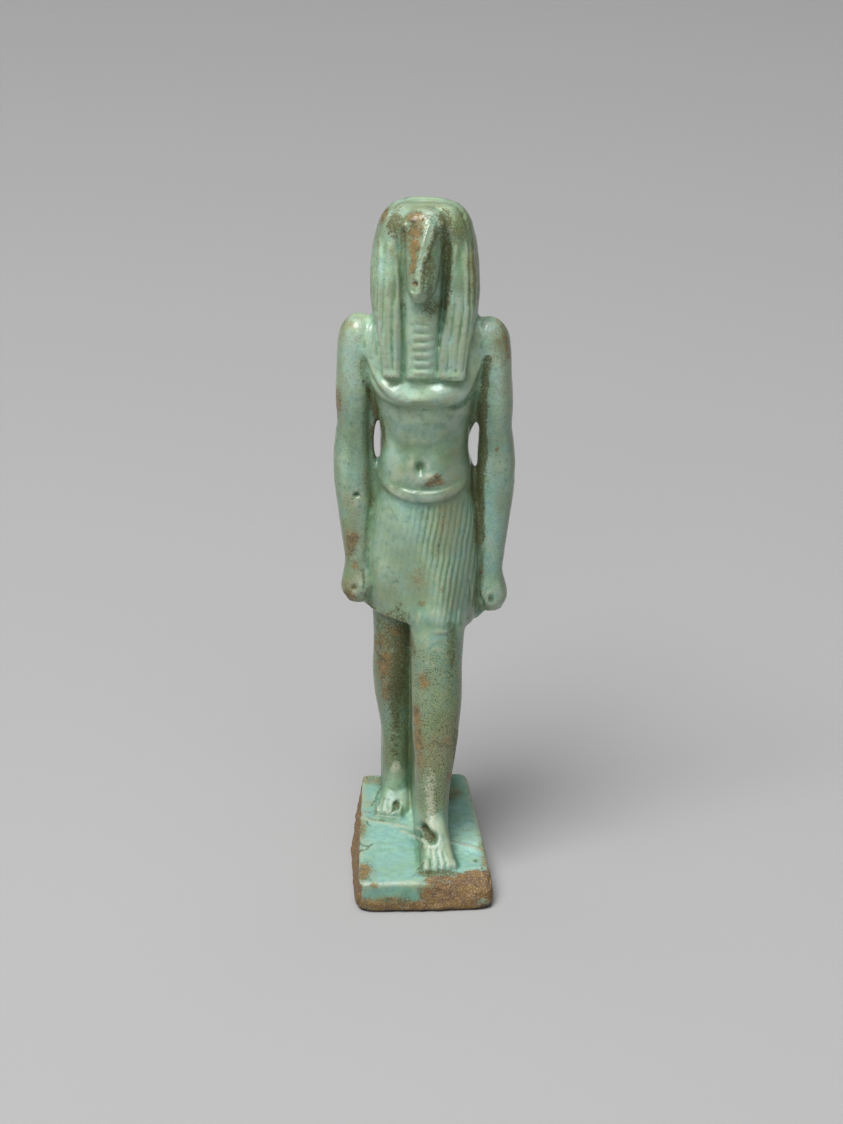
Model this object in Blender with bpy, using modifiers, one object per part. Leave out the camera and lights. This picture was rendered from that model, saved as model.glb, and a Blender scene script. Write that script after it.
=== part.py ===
"""Deity amulet: an ibis-headed striding god in moulded faience, on a low base with a back pillar.

The whole amulet is one moulded piece. The base, the pillar and the suspension hole have sizes of
their own. The figure is free form: its tables are in shares of its height, in which the crown is at
CROWN, with x across (+x is the viewer's right), y from the body's axis (-y is the front) and z up
from the top of the base.
The row frame has its origin in the middle of the underside, with the front towards -Y.
"""
import math

import bmesh
import bpy
import numpy as np
from mathutils import Matrix, Vector

# Driving dimensions, in metres
FIGURE_HEIGHT = 0.0653
BASE_HEIGHT = 0.003
BASE_FRONT_WIDTH = 0.0136
BASE_BACK_WIDTH = 0.0110
BASE_SHIFT = -0.00082
BASE_BATTER = 0.0003
BASE_LEFT_BOW = 0.0009
BASE_EDGE_ROUND = 0.0004
TOE_MARGIN = 0.0018
BACK_MARGIN = 0.00045
PILLAR_WIDTH = 0.0070
PILLAR_DEPTH = 0.0028
PILLAR_EDGE_ROUND = 0.0004
HOLE_DIAMETER = 0.0013
HOLE_WALL = 0.0006
SUNK = 0.0003

# The figure's own proportions, as shares of its height
CROWN = 65.3
UNIT = FIGURE_HEIGHT / CROWN
TOE_REACH = 16.2
BACK_REACH = 3.4
PILLAR_TOP = 55.5
HOLE_LEVEL = 48.3
PILLAR_INSET = 2.2
TURN_DEGREES = 7.0
TURN_FROM = 24.0
TURN_FULL = 44.0

# Lengths worked out from the ones above
BASE_LENGTH = TOE_MARGIN + (TOE_REACH + BACK_REACH) * UNIT + PILLAR_DEPTH + BACK_MARGIN
AXIS_Y = BASE_LENGTH / 2 - BACK_MARGIN - PILLAR_DEPTH - BACK_REACH * UNIT
PILLAR_FRONT_Y = AXIS_Y + BACK_REACH * UNIT
PILLAR_BACK_Y = PILLAR_FRONT_Y + PILLAR_DEPTH

# Horizontal sections: height z, centre x and y, half width, half depth
TORSO = (
    (33.0, 0.0, 0.2, 4.5, 3.2), (36.0, 0.0, 0.1, 4.75, 3.5), (38.4, 0.0, 0.1, 4.5, 3.55),
    (39.8, 0.0, 0.2, 4.33, 3.3), (42.2, 0.0, 0.2, 4.62, 3.3), (45.2, 0.0, 0.1, 5.0, 3.4),
    (48.0, 0.0, 0.1, 5.0, 3.2),
)
CHEST = (
    (44.95, 0.0, -0.1, 3.2, 2.9), (45.3, 0.0, -0.2, 4.4, 3.8), (45.8, 0.0, -0.3, 4.95, 4.25),
    (46.3, 0.0, -0.3, 5.2, 4.3), (47.4, 0.0, -0.1, 5.6, 3.9), (48.1, 0.0, 0.0, 5.8, 3.65),
    (49.6, 0.0, 0.15, 6.1, 3.65), (51.0, 0.0, 0.3, 6.6, 3.6), (52.4, 0.0, 0.4, 6.4, 3.2),
    (53.3, 0.0, 0.5, 5.5, 2.6), (54.4, 0.0, 0.6, 3.0, 1.6),
)
ARM = (
    (53.3, 6.5, 0.3, 0.7, 1.0), (52.85, 6.4, 0.3, 1.4, 1.6), (51.8, 6.45, 0.3, 1.9, 2.1),
    (50.3, 6.55, 0.3, 2.0, 2.2), (48.5, 6.75, 0.35, 1.78, 2.1), (44.5, 7.0, 0.6, 1.78, 2.0),
    (41.5, 6.98, 0.8, 1.66, 1.95), (38.2, 7.12, 0.9, 1.88, 2.1), (36.0, 7.07, 0.75, 1.9, 2.05),
    (33.7, 6.9, 0.5, 1.8, 1.95), (30.0, 6.6, 0.0, 1.6, 1.75), (27.3, 6.42, -0.3, 1.38, 1.5),
    (26.0, 6.47, -0.45, 1.58, 1.85), (24.8, 6.65, -0.6, 1.8, 2.1), (23.8, 6.55, -0.6, 1.7, 1.95),
    (23.3, 6.45, -0.6, 1.3, 1.5),
)
WIG = (
    (49.6, 0.0, 1.9, 4.2, 2.6), (51.3, 0.0, 1.4, 4.8, 3.4), (53.4, 0.0, 0.6, 5.2, 4.3),
    (56.0, 0.0, 0.1, 5.4, 4.5), (59.0, 0.0, 0.0, 5.35, 4.5), (61.5, 0.0, 0.0, 5.05, 4.4),
    (63.1, 0.0, 0.1, 4.65, 4.1), (64.2, 0.0, 0.1, 4.1, 3.65), (64.9, 0.0, 0.1, 3.35, 3.0),
    (65.22, 0.0, 0.1, 2.3, 2.1), (65.3, 0.0, 0.1, 1.1, 1.0),
)
REAR_LEG = (
    (25.0, -2.9, 0.2, 2.5, 2.8), (21.0, -2.95, 0.1, 2.3, 2.6), (18.5, -3.0, 0.0, 2.2, 2.5),
    (15.7, -3.15, 0.0, 2.2, 2.5), (13.5, -3.15, 0.3, 2.1, 2.5), (11.8, -3.1, 0.4, 1.9, 2.3),
    (9.5, -3.0, 0.3, 1.6, 1.9), (7.2, -2.95, 0.2, 1.35, 1.6), (4.9, -2.9, 0.1, 1.25, 1.5),
    (3.0, -2.95, 0.2, 1.3, 1.7), (1.2, -3.0, 0.5, 1.4, 2.0), (-0.3, -3.0, 0.6, 1.4, 2.1),
)
FRONT_LEG = (
    (26.0, 1.0, -3.2, 2.7, 2.9), (21.0, 0.97, -4.6, 2.67, 2.8), (18.6, 0.9, -5.4, 2.6, 2.7),
    (15.2, 0.88, -6.5, 2.58, 2.65), (11.4, 0.7, -7.7, 2.3, 2.4), (9.4, 0.63, -8.4, 2.05, 2.1),
    (6.4, 0.42, -9.3, 1.65, 1.7), (4.3, 0.4, -9.9, 1.5, 1.7), (2.5, 0.45, -10.3, 1.5, 1.9),
    (1.0, 0.45, -10.3, 1.5, 2.2), (-0.3, 0.45, -10.3, 1.5, 2.2),
)

# Upright sections of the feet: distance y, centre x, half width, height of the instep
FRONT_FOOT = (
    (-8.3, 0.4, 1.15, 1.7), (-9.4, 0.4, 1.45, 3.4), (-11.4, 0.45, 1.5, 4.8),
    (-12.6, 0.5, 1.6, 3.4), (-13.9, 0.6, 1.72, 2.1), (-15.0, 0.7, 1.75, 1.2),
)
REAR_FOOT = (
    (3.2, -2.95, 1.1, 1.8), (1.4, -2.95, 1.3, 3.6), (-0.4, -3.1, 1.35, 3.3),
    (-1.4, -3.3, 1.42, 2.2), (-2.5, -3.6, 1.42, 1.2),
)

SOLE_SUNK = 0.4

# Toes: middle x, root y, half width, tip y of the big toe, and how far they turn out
FRONT_TOES = (0.7, -14.6, 1.8, -TOE_REACH, 0.0)
REAR_TOES = (-3.6, -2.1, 1.45, -3.7, 0.25)
TOE_SHARES = (0.29, 0.2, 0.18, 0.17, 0.16)
TOE_SHORTENING = 0.09
TOE_SWELL = 0.58
TOE_HEIGHT = 0.72
TOE_LEVEL = 0.25

# Lappets of the wig: height, centre x, half width, front y, back y
LEFT_LAPPET = (
    (48.4, -2.92, 0.88, -4.35, -2.0), (50.5, -3.05, 1.02, -4.5, -2.0),
    (53.0, -3.22, 1.27, -4.55, -1.8), (56.0, -3.5, 1.52, -4.5, -1.5),
    (58.5, -3.6, 1.55, -4.3, -1.2), (61.0, -3.6, 1.35, -3.7, -1.0), (63.2, -3.4, 1.0, -2.8, -0.8),
)
RIGHT_LAPPET = (
    (48.4, 2.95, 1.32, -4.35, -2.0), (50.5, 3.08, 1.4, -4.5, -2.0),
    (53.0, 3.4, 1.5, -4.55, -1.8), (56.0, 3.8, 1.5, -4.5, -1.5),
    (58.5, 3.95, 1.45, -4.3, -1.2), (61.0, 3.9, 1.3, -3.7, -1.0), (63.2, 3.6, 1.0, -2.8, -0.8),
)
LAPPET_STRANDS = 3
STRAND_DEPTH = 0.2
LAPPET_CORNER = 0.35
FLUTES_FROM = 1.0
FLUTES_FULL = 3.0

# Throat under the beak, with the rows of its collar, and the chin under the beak's stump
THROAT = (
    (48.9, -0.12, -2.2, 1.55, 2.2), (52.0, -0.12, -2.3, 1.58, 2.25), (55.0, -0.05, -2.4, 1.62, 2.2),
    (58.0, 0.05, -2.6, 1.7, 2.2), (61.0, 0.15, -2.8, 1.75, 2.2),
)
CHIN = (
    (57.2, -0.1, -5.0, 0.6, 1.1), (57.6, -0.05, -5.2, 1.05, 1.6), (58.6, 0.0, -5.1, 1.3, 1.9),
    (60.2, 0.1, -4.7, 1.5, 2.1), (62.0, 0.2, -4.1, 1.7, 2.1), (63.5, 0.2, -3.4, 1.7, 1.9),
)
COLLAR_FROM = 48.9
COLLAR_TO = 55.1
COLLAR_PITCH = 1.04
COLLAR_RELIEF = 0.16
COLLAR_SECTION = (0.12, 0.5, 0.88)

# Head and what is left of the beak: ridge x, y, z, half width, thickness below the ridge
HEAD_CENTRE = (0.2, -2.7, 62.7)
HEAD_RADII = (2.05, 2.5, 2.5)
BEAK = (
    (0.5, -3.4, 65.2, 0.8, 2.6), (0.35, -4.9, 64.4, 1.0, 2.6), (0.15, -5.9, 63.0, 0.95, 2.4),
    (-0.05, -6.7, 61.4, 0.8, 2.0), (-0.2, -7.2, 59.8, 0.65, 1.6), (-0.25, -7.5, 58.3, 0.42, 1.0),
)
BEAK_BREAK_LEAN = 58.0
BEAK_RIGHT_EDGE = 0.55
BEAK_LEFT = ((1.0, 0.95), (-0.75, 1.0), (-1.0, 0.55), (-0.62, 0.16))
EYE_PLACE = (1.75, -2.95, 63.85)
EYE_RADIUS = 0.42
FACE_OPENING = (
    (47.3, -0.2, 1.8), (53.1, -0.05, 1.92), (58.2, 0.25, 2.25), (61.7, 0.33, 2.45),
    (63.3, 0.33, 2.4), (64.05, 0.3, 2.0), (64.45, 0.3, 1.4),
)
FACE_DEPTH = -2.9
FACE_FRONT = -9.0

# Kilt: share of the way down, half width at the left and right, half depth at the front and back
KILT = (
    (0.0, 4.65, 4.65, 3.65, 3.6), (0.25, 5.5, 5.45, 3.8, 3.9), (0.6, 6.15, 5.8, 4.0, 3.8),
    (0.85, 6.0, 5.65, 4.1, 3.4), (1.0, 5.4, 5.1, 4.0, 3.1),
)
KILT_PLEATS = 42
PLEAT_DEPTH = 0.15
KILT_CORNERS = 0.92
KILT_TOP_SIDE = 36.3
KILT_TOP_DIP = 1.2
KILT_HEM = 22.0
HEM_SLOPE = 0.1
THIGH_REACH = 3.4
THIGH_CENTRE = 1.5
THIGH_WIDTH = 3.0
THIGH_LIFT = 0.5
THIGH_GROWTH = 1.4
THIGH_SPREAD = 1.6
PLEATS_FROM = 0.012
HEM_THICKNESS = 1.2
BELT_WIDTH = 1.15
BELT_RELIEF = 0.3

# Webs that back the arms and the legs
WEB_HALF_THICKNESS = 0.75
WEB_ROWS = 14
WEB_TOP = 49.5
WEB_BOTTOM = {"left": 22.5, "right": 21.3}
WEB_TAPER = 1.1
WEB_INNER_X = 3.4
LEG_WEB_SIDES = (-1.4, 1.8)
LEG_WEB_FRONT = ((-0.3, -10.0), (9.0, -8.2), (18.0, -5.4), (25.0, -3.0))
THUMB_RADII = (0.62, 0.75, 1.15)
THUMB_IN = 0.35
THUMB_FORWARD = 0.85
ARM_LIFT = {"left": 0.35, "right": -0.9}
ARM_SHIFT = {"left": -0.2, "right": 0.0}

# Slits between the arms and the waist: x at the bottom, middle and top, z there, and half width
SLITS = {
    "left": ((-4.87, -4.65, -4.63), (37.5, 40.4, 42.8), 0.52),
    "right": ((4.98, 4.92, 5.15), (36.8, 39.8, 42.6), 0.68),
}
SLIT_LEVELS = 7
SLIT_Y = 0.8
SLIT_REACH = 1.3
SLIT_POINT = 0.15

# Loss at the front right corner of the base, from the corner: across, back and down
CORNER_LOSS = (0.0058, 0.0030, 0.0013)
NAVEL = (0.0, -3.5, 38.8)
NAVEL_RADIUS = 0.6

# Numbers of sides of the sections
BODY_SIDES = 28
LIMB_SIDES = 16
FOOT_SIDES = 14
WIG_STRANDS = 32


def clear_scene():
    """Remove every object, so that the script starts from nothing."""
    for thing in list(bpy.data.objects):
        bpy.data.objects.remove(thing, do_unlink=True)


def new_collection(name):
    """Link an empty collection to the scene."""
    group = bpy.data.collections.new(name)
    bpy.context.scene.collection.children.link(group)
    return group


def round_curve(sides, power):
    """Give the cosine and sine of a ring of points, squarer as power rises above 2."""
    angle = np.arange(sides) * 2 * math.pi / sides
    c = np.cos(angle)
    s = np.sin(angle)
    return np.sign(c) * abs(c) ** (2 / power), np.sign(s) * abs(s) ** (2 / power)


def flat_rings(rows, sides, power=2.0):
    """Turn horizontal sections into rings of points."""
    c, s = round_curve(sides, power)
    table = np.array(rows)
    rings = np.empty((len(table), sides, 3))
    rings[:, :, 0] = table[:, 1:2] + table[:, 3:4] * c
    rings[:, :, 1] = table[:, 2:3] + table[:, 4:5] * s
    rings[:, :, 2] = table[:, 0:1]
    return rings


def smooth_step(value):
    """Rise smoothly from 0 to 1."""
    share = np.clip(value, 0.0, 1.0)
    return share * share * (3 - 2 * share)


def turned(points):
    """Turn the body above the kilt about its axis, clockwise from above."""
    angle = math.radians(TURN_DEGREES)
    angle = angle * smooth_step((points[..., 2] - TURN_FROM) / (TURN_FULL - TURN_FROM))
    out = points.copy()
    out[..., 0] = points[..., 0] * np.cos(angle) + points[..., 1] * np.sin(angle)
    out[..., 1] = points[..., 1] * np.cos(angle) - points[..., 0] * np.sin(angle)
    return out


def placed(points):
    """Move figure points into the row frame, in metres."""
    out = np.asarray(points, dtype=float) * UNIT
    out[..., 1] += AXIS_Y
    out[..., 2] += BASE_HEIGHT
    return out


def loft(name, rings, group):
    """Make a closed mesh from rings of points that lie one above the other."""
    mesh_builder = bmesh.new()
    rows = [[mesh_builder.verts.new(point) for point in ring] for ring in rings]
    for lower, upper in zip(rows, rows[1:]):
        for index in range(len(lower)):
            following = (index + 1) % len(lower)
            mesh_builder.faces.new((lower[index], lower[following], upper[following], upper[index]))
    mesh_builder.faces.new(rows[0][::-1])
    mesh_builder.faces.new(rows[-1])
    bmesh.ops.recalc_face_normals(mesh_builder, faces=mesh_builder.faces)
    bmesh.ops.triangulate(mesh_builder, faces=mesh_builder.faces)
    return finish_mesh(name, mesh_builder, group)


def finish_mesh(name, mesh_builder, group):
    """Turn a bmesh into a smooth object of the group."""
    mesh = bpy.data.meshes.new(name)
    mesh_builder.to_mesh(mesh)
    mesh_builder.free()
    mesh.shade_smooth()
    thing = bpy.data.objects.new(name, mesh)
    group.objects.link(thing)
    return thing


def ball(name, centre, radii, group, segments=12, turn_it=True):
    """Make an ellipsoid at a figure point."""
    mesh_builder = bmesh.new()
    bmesh.ops.create_uvsphere(mesh_builder, u_segments=segments, v_segments=segments * 2 // 3, radius=1)
    for vertex in mesh_builder.verts:
        local = np.array(vertex.co) * np.array(radii) + np.array(centre)
        vertex.co = placed(turned(local) if turn_it else local)
    return finish_mesh(name, mesh_builder, group)


def make_torso(group):
    """Trunk from inside the kilt to the neck, and the raised breast over it."""
    for name, rows in (("trunk", TORSO), ("breast", CHEST)):
        rings = flat_rings(rows, BODY_SIDES, power=2.3)
        loft(name, placed(turned(rings)), group)


def arm_rows(side):
    """Sections of one arm, lifted or lowered towards the fist."""
    sign = -1 if side == "left" else 1
    rows = np.array(ARM)
    top = rows[0, 0]
    bottom = rows[-1, 0]
    rows[:, 0] += ARM_LIFT[side] * (top - rows[:, 0]) / (top - bottom)
    rows[:, 1] = sign * rows[:, 1] + ARM_SHIFT[side]
    return rows


def make_arms(group):
    """Arms with closed fists, and the webs that join them to the body."""
    for side in ARM_LIFT:
        rows = arm_rows(side)
        loft(side + "_arm", placed(turned(flat_rings(rows, LIMB_SIDES, power=2.2))), group)
        make_thumb(side, rows, group)
        make_arm_web(side, rows, group)


def make_thumb(side, rows, group):
    """Thumb that lies over the front of the fist."""
    fist_z, fist_x, fist_y, _, fist_depth = rows[-3]
    centre = (fist_x - math.copysign(THUMB_IN, fist_x), fist_y - fist_depth * THUMB_FORWARD, fist_z)
    ball(side + "_thumb", centre, THUMB_RADII, group, segments=10)


def make_arm_web(side, rows, group):
    """Thin wall between the arm's middle and the body, drawn in below the fist."""
    order = np.argsort(rows[:, 0])
    levels = np.linspace(WEB_BOTTOM[side], WEB_TOP, WEB_ROWS)
    arm_x = np.interp(levels, rows[order, 0], rows[order, 1])
    arm_y = np.interp(levels, rows[order, 0], rows[order, 2])
    arm_x -= np.sign(arm_x) * WEB_TAPER * np.maximum(rows[order[0], 0] - levels, 0.0)
    inner = np.sign(arm_x) * WEB_INNER_X
    rings = np.empty((len(levels), 4, 3))
    for corner, (edge, thick) in enumerate(((inner, -1), (arm_x, -1), (arm_x, 1), (inner, 1))):
        rings[:, corner, 0] = edge
        rings[:, corner, 1] = arm_y + thick * WEB_HALF_THICKNESS
        rings[:, corner, 2] = levels
    loft(side + "_arm_web", placed(turned(rings)), group)


def make_slit_cutters(group):
    """Cutters for the pointed slits that stay open through the webs beside the waist."""
    share = np.linspace(0.0, 1.0, SLIT_LEVELS)
    for side, (across, levels, half_width) in SLITS.items():
        z = levels[0] + (levels[-1] - levels[0]) * share
        middle = np.interp(z, levels, across)
        half = half_width * np.maximum(np.sin(share * math.pi), SLIT_POINT)
        rings = np.empty((SLIT_LEVELS, 4, 3))
        for corner, (sign, y) in enumerate(((-1, -1), (1, -1), (1, 1), (-1, 1))):
            rings[:, corner, 0] = middle + sign * half
            rings[:, corner, 1] = SLIT_Y + y * SLIT_REACH
            rings[:, corner, 2] = z
        loft(side + "_slit_cutter", placed(turned(rings)), group)


def kilt_ring(share, out, angle):
    """One ring of the kilt: share runs from the belt (0) to the hem (1)."""
    rows = np.array(KILT)
    left, right, front, back = (np.interp(share, rows[:, 0], rows[:, k]) for k in (1, 2, 3, 4))
    c = np.cos(angle)
    s = np.sin(angle)
    x = np.where(c < 0, left, right) * np.sign(c) * abs(c) ** KILT_CORNERS
    y = np.where(s < 0, front, back) * np.sign(s) * abs(s) ** KILT_CORNERS
    frontal = np.clip(-s, 0, 1)
    thigh = np.exp(-((x - THIGH_CENTRE) / THIGH_WIDTH) ** 2) * share ** THIGH_GROWTH
    thigh = thigh * smooth_step(frontal * THIGH_SPREAD)
    y = y - THIGH_REACH * thigh
    length = np.hypot(x, y)
    top = KILT_TOP_SIDE - KILT_TOP_DIP * frontal ** 2
    hem = KILT_HEM - HEM_SLOPE * x + THIGH_LIFT * thigh
    ring = np.empty((len(angle), 3))
    ring[:, 0] = x + out * x / length
    ring[:, 1] = y + out * y / length
    ring[:, 2] = top + (hem - top) * share
    return ring


def make_kilt(group):
    """Pleated kilt with its belt: ridges and furrows alternate around it."""
    columns = 2 * KILT_PLEATS
    angle = np.arange(columns) * 2 * math.pi / columns
    pleat = np.where(np.arange(columns) % 2 == 0, PLEAT_DEPTH, 0.0)
    smooth = np.zeros(columns)
    rings = []
    for rise, out in ((BELT_WIDTH, -2 * BELT_RELIEF), (BELT_WIDTH, BELT_RELIEF), (0.0, BELT_RELIEF)):
        ring = kilt_ring(0.0, smooth + out, angle)
        ring[:, 2] += rise
        rings.append(ring)
    for row in KILT:
        rings.append(kilt_ring(max(row[0], PLEATS_FROM), pleat, angle))
    rings.append(kilt_ring(1.0, smooth - HEM_THICKNESS, angle))
    loft("kilt", placed(turned(np.array(rings))), group)


def make_wig(forms, cutters):
    """Fluted hood, open in front of the face, with a lappet down each side of the breast."""
    sides = 2 * WIG_STRANDS
    rings = flat_rings(WIG, sides, power=2.6)
    centre = rings.mean(axis=1, keepdims=True)
    flute = np.where(np.arange(sides) % 2 == 0, STRAND_DEPTH, 0.0)[None, :, None]
    span = np.linalg.norm((rings - centre)[:, :, :2], axis=2, keepdims=True)
    fade = smooth_step((span - FLUTES_FROM) / (FLUTES_FULL - FLUTES_FROM))
    rings[:, :, :2] -= ((rings - centre) / span * flute * fade)[:, :, :2]
    hood = loft("wig", placed(turned(rings)), forms)
    opening = loft("face_opening", placed(turned(face_rings())), cutters)
    cut = hood.modifiers.new("face", "BOOLEAN")
    cut.operation = "DIFFERENCE"
    cut.object = opening
    for name, rows in (("left_lappet", LEFT_LAPPET), ("right_lappet", RIGHT_LAPPET)):
        loft(name, placed(turned(lappet_rings(rows))), forms)


def face_rings():
    """Cutter for the opening in front of the face: arched at the top, flat at the back."""
    table = np.array(FACE_OPENING)
    rings = np.empty((len(table), 4, 3))
    sides = ((-1, FACE_FRONT), (1, FACE_FRONT), (1, FACE_DEPTH), (-1, FACE_DEPTH))
    for corner, (sign, y) in enumerate(sides):
        rings[:, corner, 0] = table[:, 1] + sign * table[:, 2]
        rings[:, corner, 1] = y
        rings[:, corner, 2] = table[:, 0]
    return rings


def lappet_rings(rows):
    """Sections of a lappet: a flat back and a front of rounded strands."""
    table = np.array(rows)
    points = 4 * LAPPET_STRANDS + 1
    across = np.linspace(-1, 1, points)
    strand = STRAND_DEPTH * abs(np.sin((across + 1) / 2 * LAPPET_STRANDS * math.pi))
    corner = LAPPET_CORNER * abs(across) ** 8
    rings = np.empty((len(table), points + 2, 3))
    rings[:, :points, 0] = table[:, 1:2] + table[:, 2:3] * across
    rings[:, :points, 1] = table[:, 3:4] - strand + corner
    rings[:, points, 0] = table[:, 1] + table[:, 2]
    rings[:, points + 1, 0] = table[:, 1] - table[:, 2]
    rings[:, points:, 1] = table[:, 4:5]
    rings[:, :, 2] = table[:, 0:1]
    return rings


def make_throat(group):
    """Column under the beak, with the rows of the collar standing out on its lower part."""
    rows = np.array(THROAT)
    count = int((COLLAR_TO - COLLAR_FROM) / COLLAR_PITCH)
    levels = [COLLAR_FROM + COLLAR_PITCH * (k + rise) for k in range(count) for rise in COLLAR_SECTION]
    relief = [COLLAR_RELIEF * (rise == COLLAR_SECTION[1]) for rise in COLLAR_SECTION] * count
    plain = [row[0] for row in THROAT if row[0] > COLLAR_TO]
    levels += plain
    relief += [0.0] * len(plain)
    columns = [np.interp(levels, rows[:, 0], rows[:, column]) for column in range(1, 5)]
    table = np.column_stack([levels] + columns)
    table[:, 3] += relief
    table[:, 4] += relief
    loft("throat", placed(turned(flat_rings(table, LIMB_SIDES, power=2.6))), group)


def make_head(forms):
    """Bird's head with its eyes, and the stump of the beak with its right face broken away."""
    ball("head", HEAD_CENTRE, HEAD_RADII, forms, segments=18)
    for sign, name in ((-1, "left_eye"), (1, "right_eye")):
        centre = (HEAD_CENTRE[0] + sign * EYE_PLACE[0], EYE_PLACE[1], EYE_PLACE[2])
        ball(name, centre, (EYE_RADIUS, EYE_RADIUS, EYE_RADIUS * 0.8), forms, segments=10)
    loft("beak", placed(turned(beak_rings())), forms)
    loft("chin", placed(turned(flat_rings(CHIN, LIMB_SIDES))), forms)


def beak_rings():
    """Sections of the beak, square to its ridge: a keeled top, and a right side cut steeply."""
    table = np.array(BEAK)
    path = table[:, :3]
    along = np.gradient(path, axis=0)
    along /= np.linalg.norm(along, axis=1, keepdims=True)
    across = np.cross(along, (0.0, 0.0, 1.0))
    across /= np.linalg.norm(across, axis=1, keepdims=True)
    across *= np.sign(across[:, :1])
    inward = np.cross(across, along)
    inward *= np.sign(inward[:, 1:2])
    lean = 1 / math.tan(math.radians(BEAK_BREAK_LEAN))
    section = BEAK_LEFT + ((0.0, 0.0), (lean, BEAK_RIGHT_EDGE))
    rings = np.empty((len(table), len(section), 3))
    for index, (side, deep) in enumerate(section):
        rings[:, index] = path + across * side * table[:, 3:4] + inward * deep * table[:, 4:5]
    return rings


def foot_rings(rows):
    """Upright sections of a foot, from the heel to the root of the toes."""
    table = np.array(rows)
    c, s = round_curve(FOOT_SIDES, 2.4)
    rings = np.empty((len(table), FOOT_SIDES, 3))
    rings[:, :, 0] = table[:, 1:2] + table[:, 2:3] * c
    rings[:, :, 1] = table[:, 0:1]
    rings[:, :, 2] = np.maximum(table[:, 3:4] * s, -SOLE_SUNK)
    return rings


def make_toes(name, place, big_side, group):
    """Five toes side by side, the big one on big_side, each a little shorter than the last."""
    middle_x, root_y, half_width, tip_y, slant = place
    edge = middle_x + big_side * half_width
    for index, share in enumerate(TOE_SHARES):
        width = share * 2 * half_width
        length = (root_y - tip_y) * (1 - TOE_SHORTENING * index)
        centre_y = root_y - length / 2
        centre_x = edge - big_side * width / 2 - slant * length / 2
        radii = (width * TOE_SWELL, length * TOE_SWELL, TOE_HEIGHT * (1 - TOE_SHORTENING * index))
        ball(name + "_toe_%d" % (index + 1), (centre_x, centre_y, TOE_LEVEL), radii, group, 8, False)
        edge -= big_side * width


def make_legs(group):
    """Striding legs with bare feet, and the web that fills the space behind the front leg."""
    loft("rear_leg", placed(flat_rings(REAR_LEG, LIMB_SIDES)), group)
    loft("front_leg", placed(flat_rings(FRONT_LEG, LIMB_SIDES)), group)
    loft("front_foot", placed(foot_rings(FRONT_FOOT)), group)
    loft("rear_foot", placed(foot_rings(REAR_FOOT)), group)
    make_toes("front", FRONT_TOES, -1, group)
    make_toes("rear", REAR_TOES, 1, group)
    low, high = LEG_WEB_SIDES
    back = BACK_REACH
    rings = []
    for z, front in LEG_WEB_FRONT:
        rings.append(((low, front, z), (high, front, z), (high, back, z), (low, back, z)))
    loft("leg_web", placed(rings), group)


def make_pillar(group):
    """Back pillar from the base to the wig, running forward into the body, with softened edges."""
    height = PILLAR_TOP * UNIT + SUNK
    depth = PILLAR_DEPTH + PILLAR_INSET * UNIT
    size = Matrix.Diagonal((PILLAR_WIDTH, depth, height, 1.0))
    middle = Vector((BASE_SHIFT, PILLAR_BACK_Y - depth / 2, BASE_HEIGHT - SUNK + height / 2))
    mesh_builder = bmesh.new()
    bmesh.ops.create_cube(mesh_builder, size=1.0, matrix=Matrix.Translation(middle) @ size)
    pillar = finish_mesh("pillar", mesh_builder, group)
    add_bevel(pillar, PILLAR_EDGE_ROUND)


def add_bevel(thing, width):
    """Round all sharp edges of an object."""
    bevel = thing.modifiers.new("edges", "BEVEL")
    bevel.width = width
    bevel.segments = 2


def make_base(group):
    """Base, wider at the front, with a slight batter and rounded edges."""
    rings = []
    half = BASE_LENGTH / 2
    for level, grow, bow in ((0.0, BASE_BATTER, BASE_LEFT_BOW), (BASE_HEIGHT, 0.0, 0.0)):
        front = BASE_FRONT_WIDTH / 2 + grow
        back = BASE_BACK_WIDTH / 2 + grow
        middle = (front + back) / 2 + bow
        corners = ((-front, -half), (front, -half), (back, half), (-back, half), (-middle, 0.0))
        rings.append([(BASE_SHIFT + x, y, level) for x, y in corners])
    base = loft("amulet", rings, group)
    add_bevel(base, BASE_EDGE_ROUND)
    return base


def make_hole_cutter(group):
    """Cutter for the suspension hole, through the pillar from side to side."""
    level = BASE_HEIGHT + HOLE_LEVEL * UNIT
    place = Vector((BASE_SHIFT, PILLAR_BACK_Y - HOLE_WALL - HOLE_DIAMETER / 2, level))
    mesh_builder = bmesh.new()
    radius = HOLE_DIAMETER / 2
    turn = Matrix.Translation(place) @ Matrix.Rotation(math.pi / 2, 4, "Y")
    bmesh.ops.create_cone(mesh_builder, cap_ends=True, segments=20, radius1=radius, radius2=radius,
                          depth=2 * PILLAR_WIDTH, matrix=turn)
    finish_mesh("hole_cutter", mesh_builder, group)


def make_corner_cutter(group):
    """Cutter for the loss at the base's front right corner: a wedge with one face on the break."""
    across, back, down = CORNER_LOSS
    corner = Vector((BASE_SHIFT + BASE_FRONT_WIDTH / 2, -BASE_LENGTH / 2, BASE_HEIGHT))
    outside = corner + Vector((1.0, -1.0, 1.0)) * BASE_HEIGHT
    ends = (Vector((-across, 0.0, 0.0)), Vector((0.0, back, 0.0)), Vector((BASE_BATTER, 0.0, -down)))
    mesh_builder = bmesh.new()
    for point in [corner + end for end in ends] + [outside]:
        mesh_builder.verts.new(point)
    bmesh.ops.convex_hull(mesh_builder, input=mesh_builder.verts)
    bmesh.ops.recalc_face_normals(mesh_builder, faces=mesh_builder.faces)
    finish_mesh("corner_cutter", mesh_builder, group)


def make_navel_cutter(group):
    """Cutter for the navel."""
    ball("navel_cutter", NAVEL, (NAVEL_RADIUS,) * 3, group, segments=10)


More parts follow.
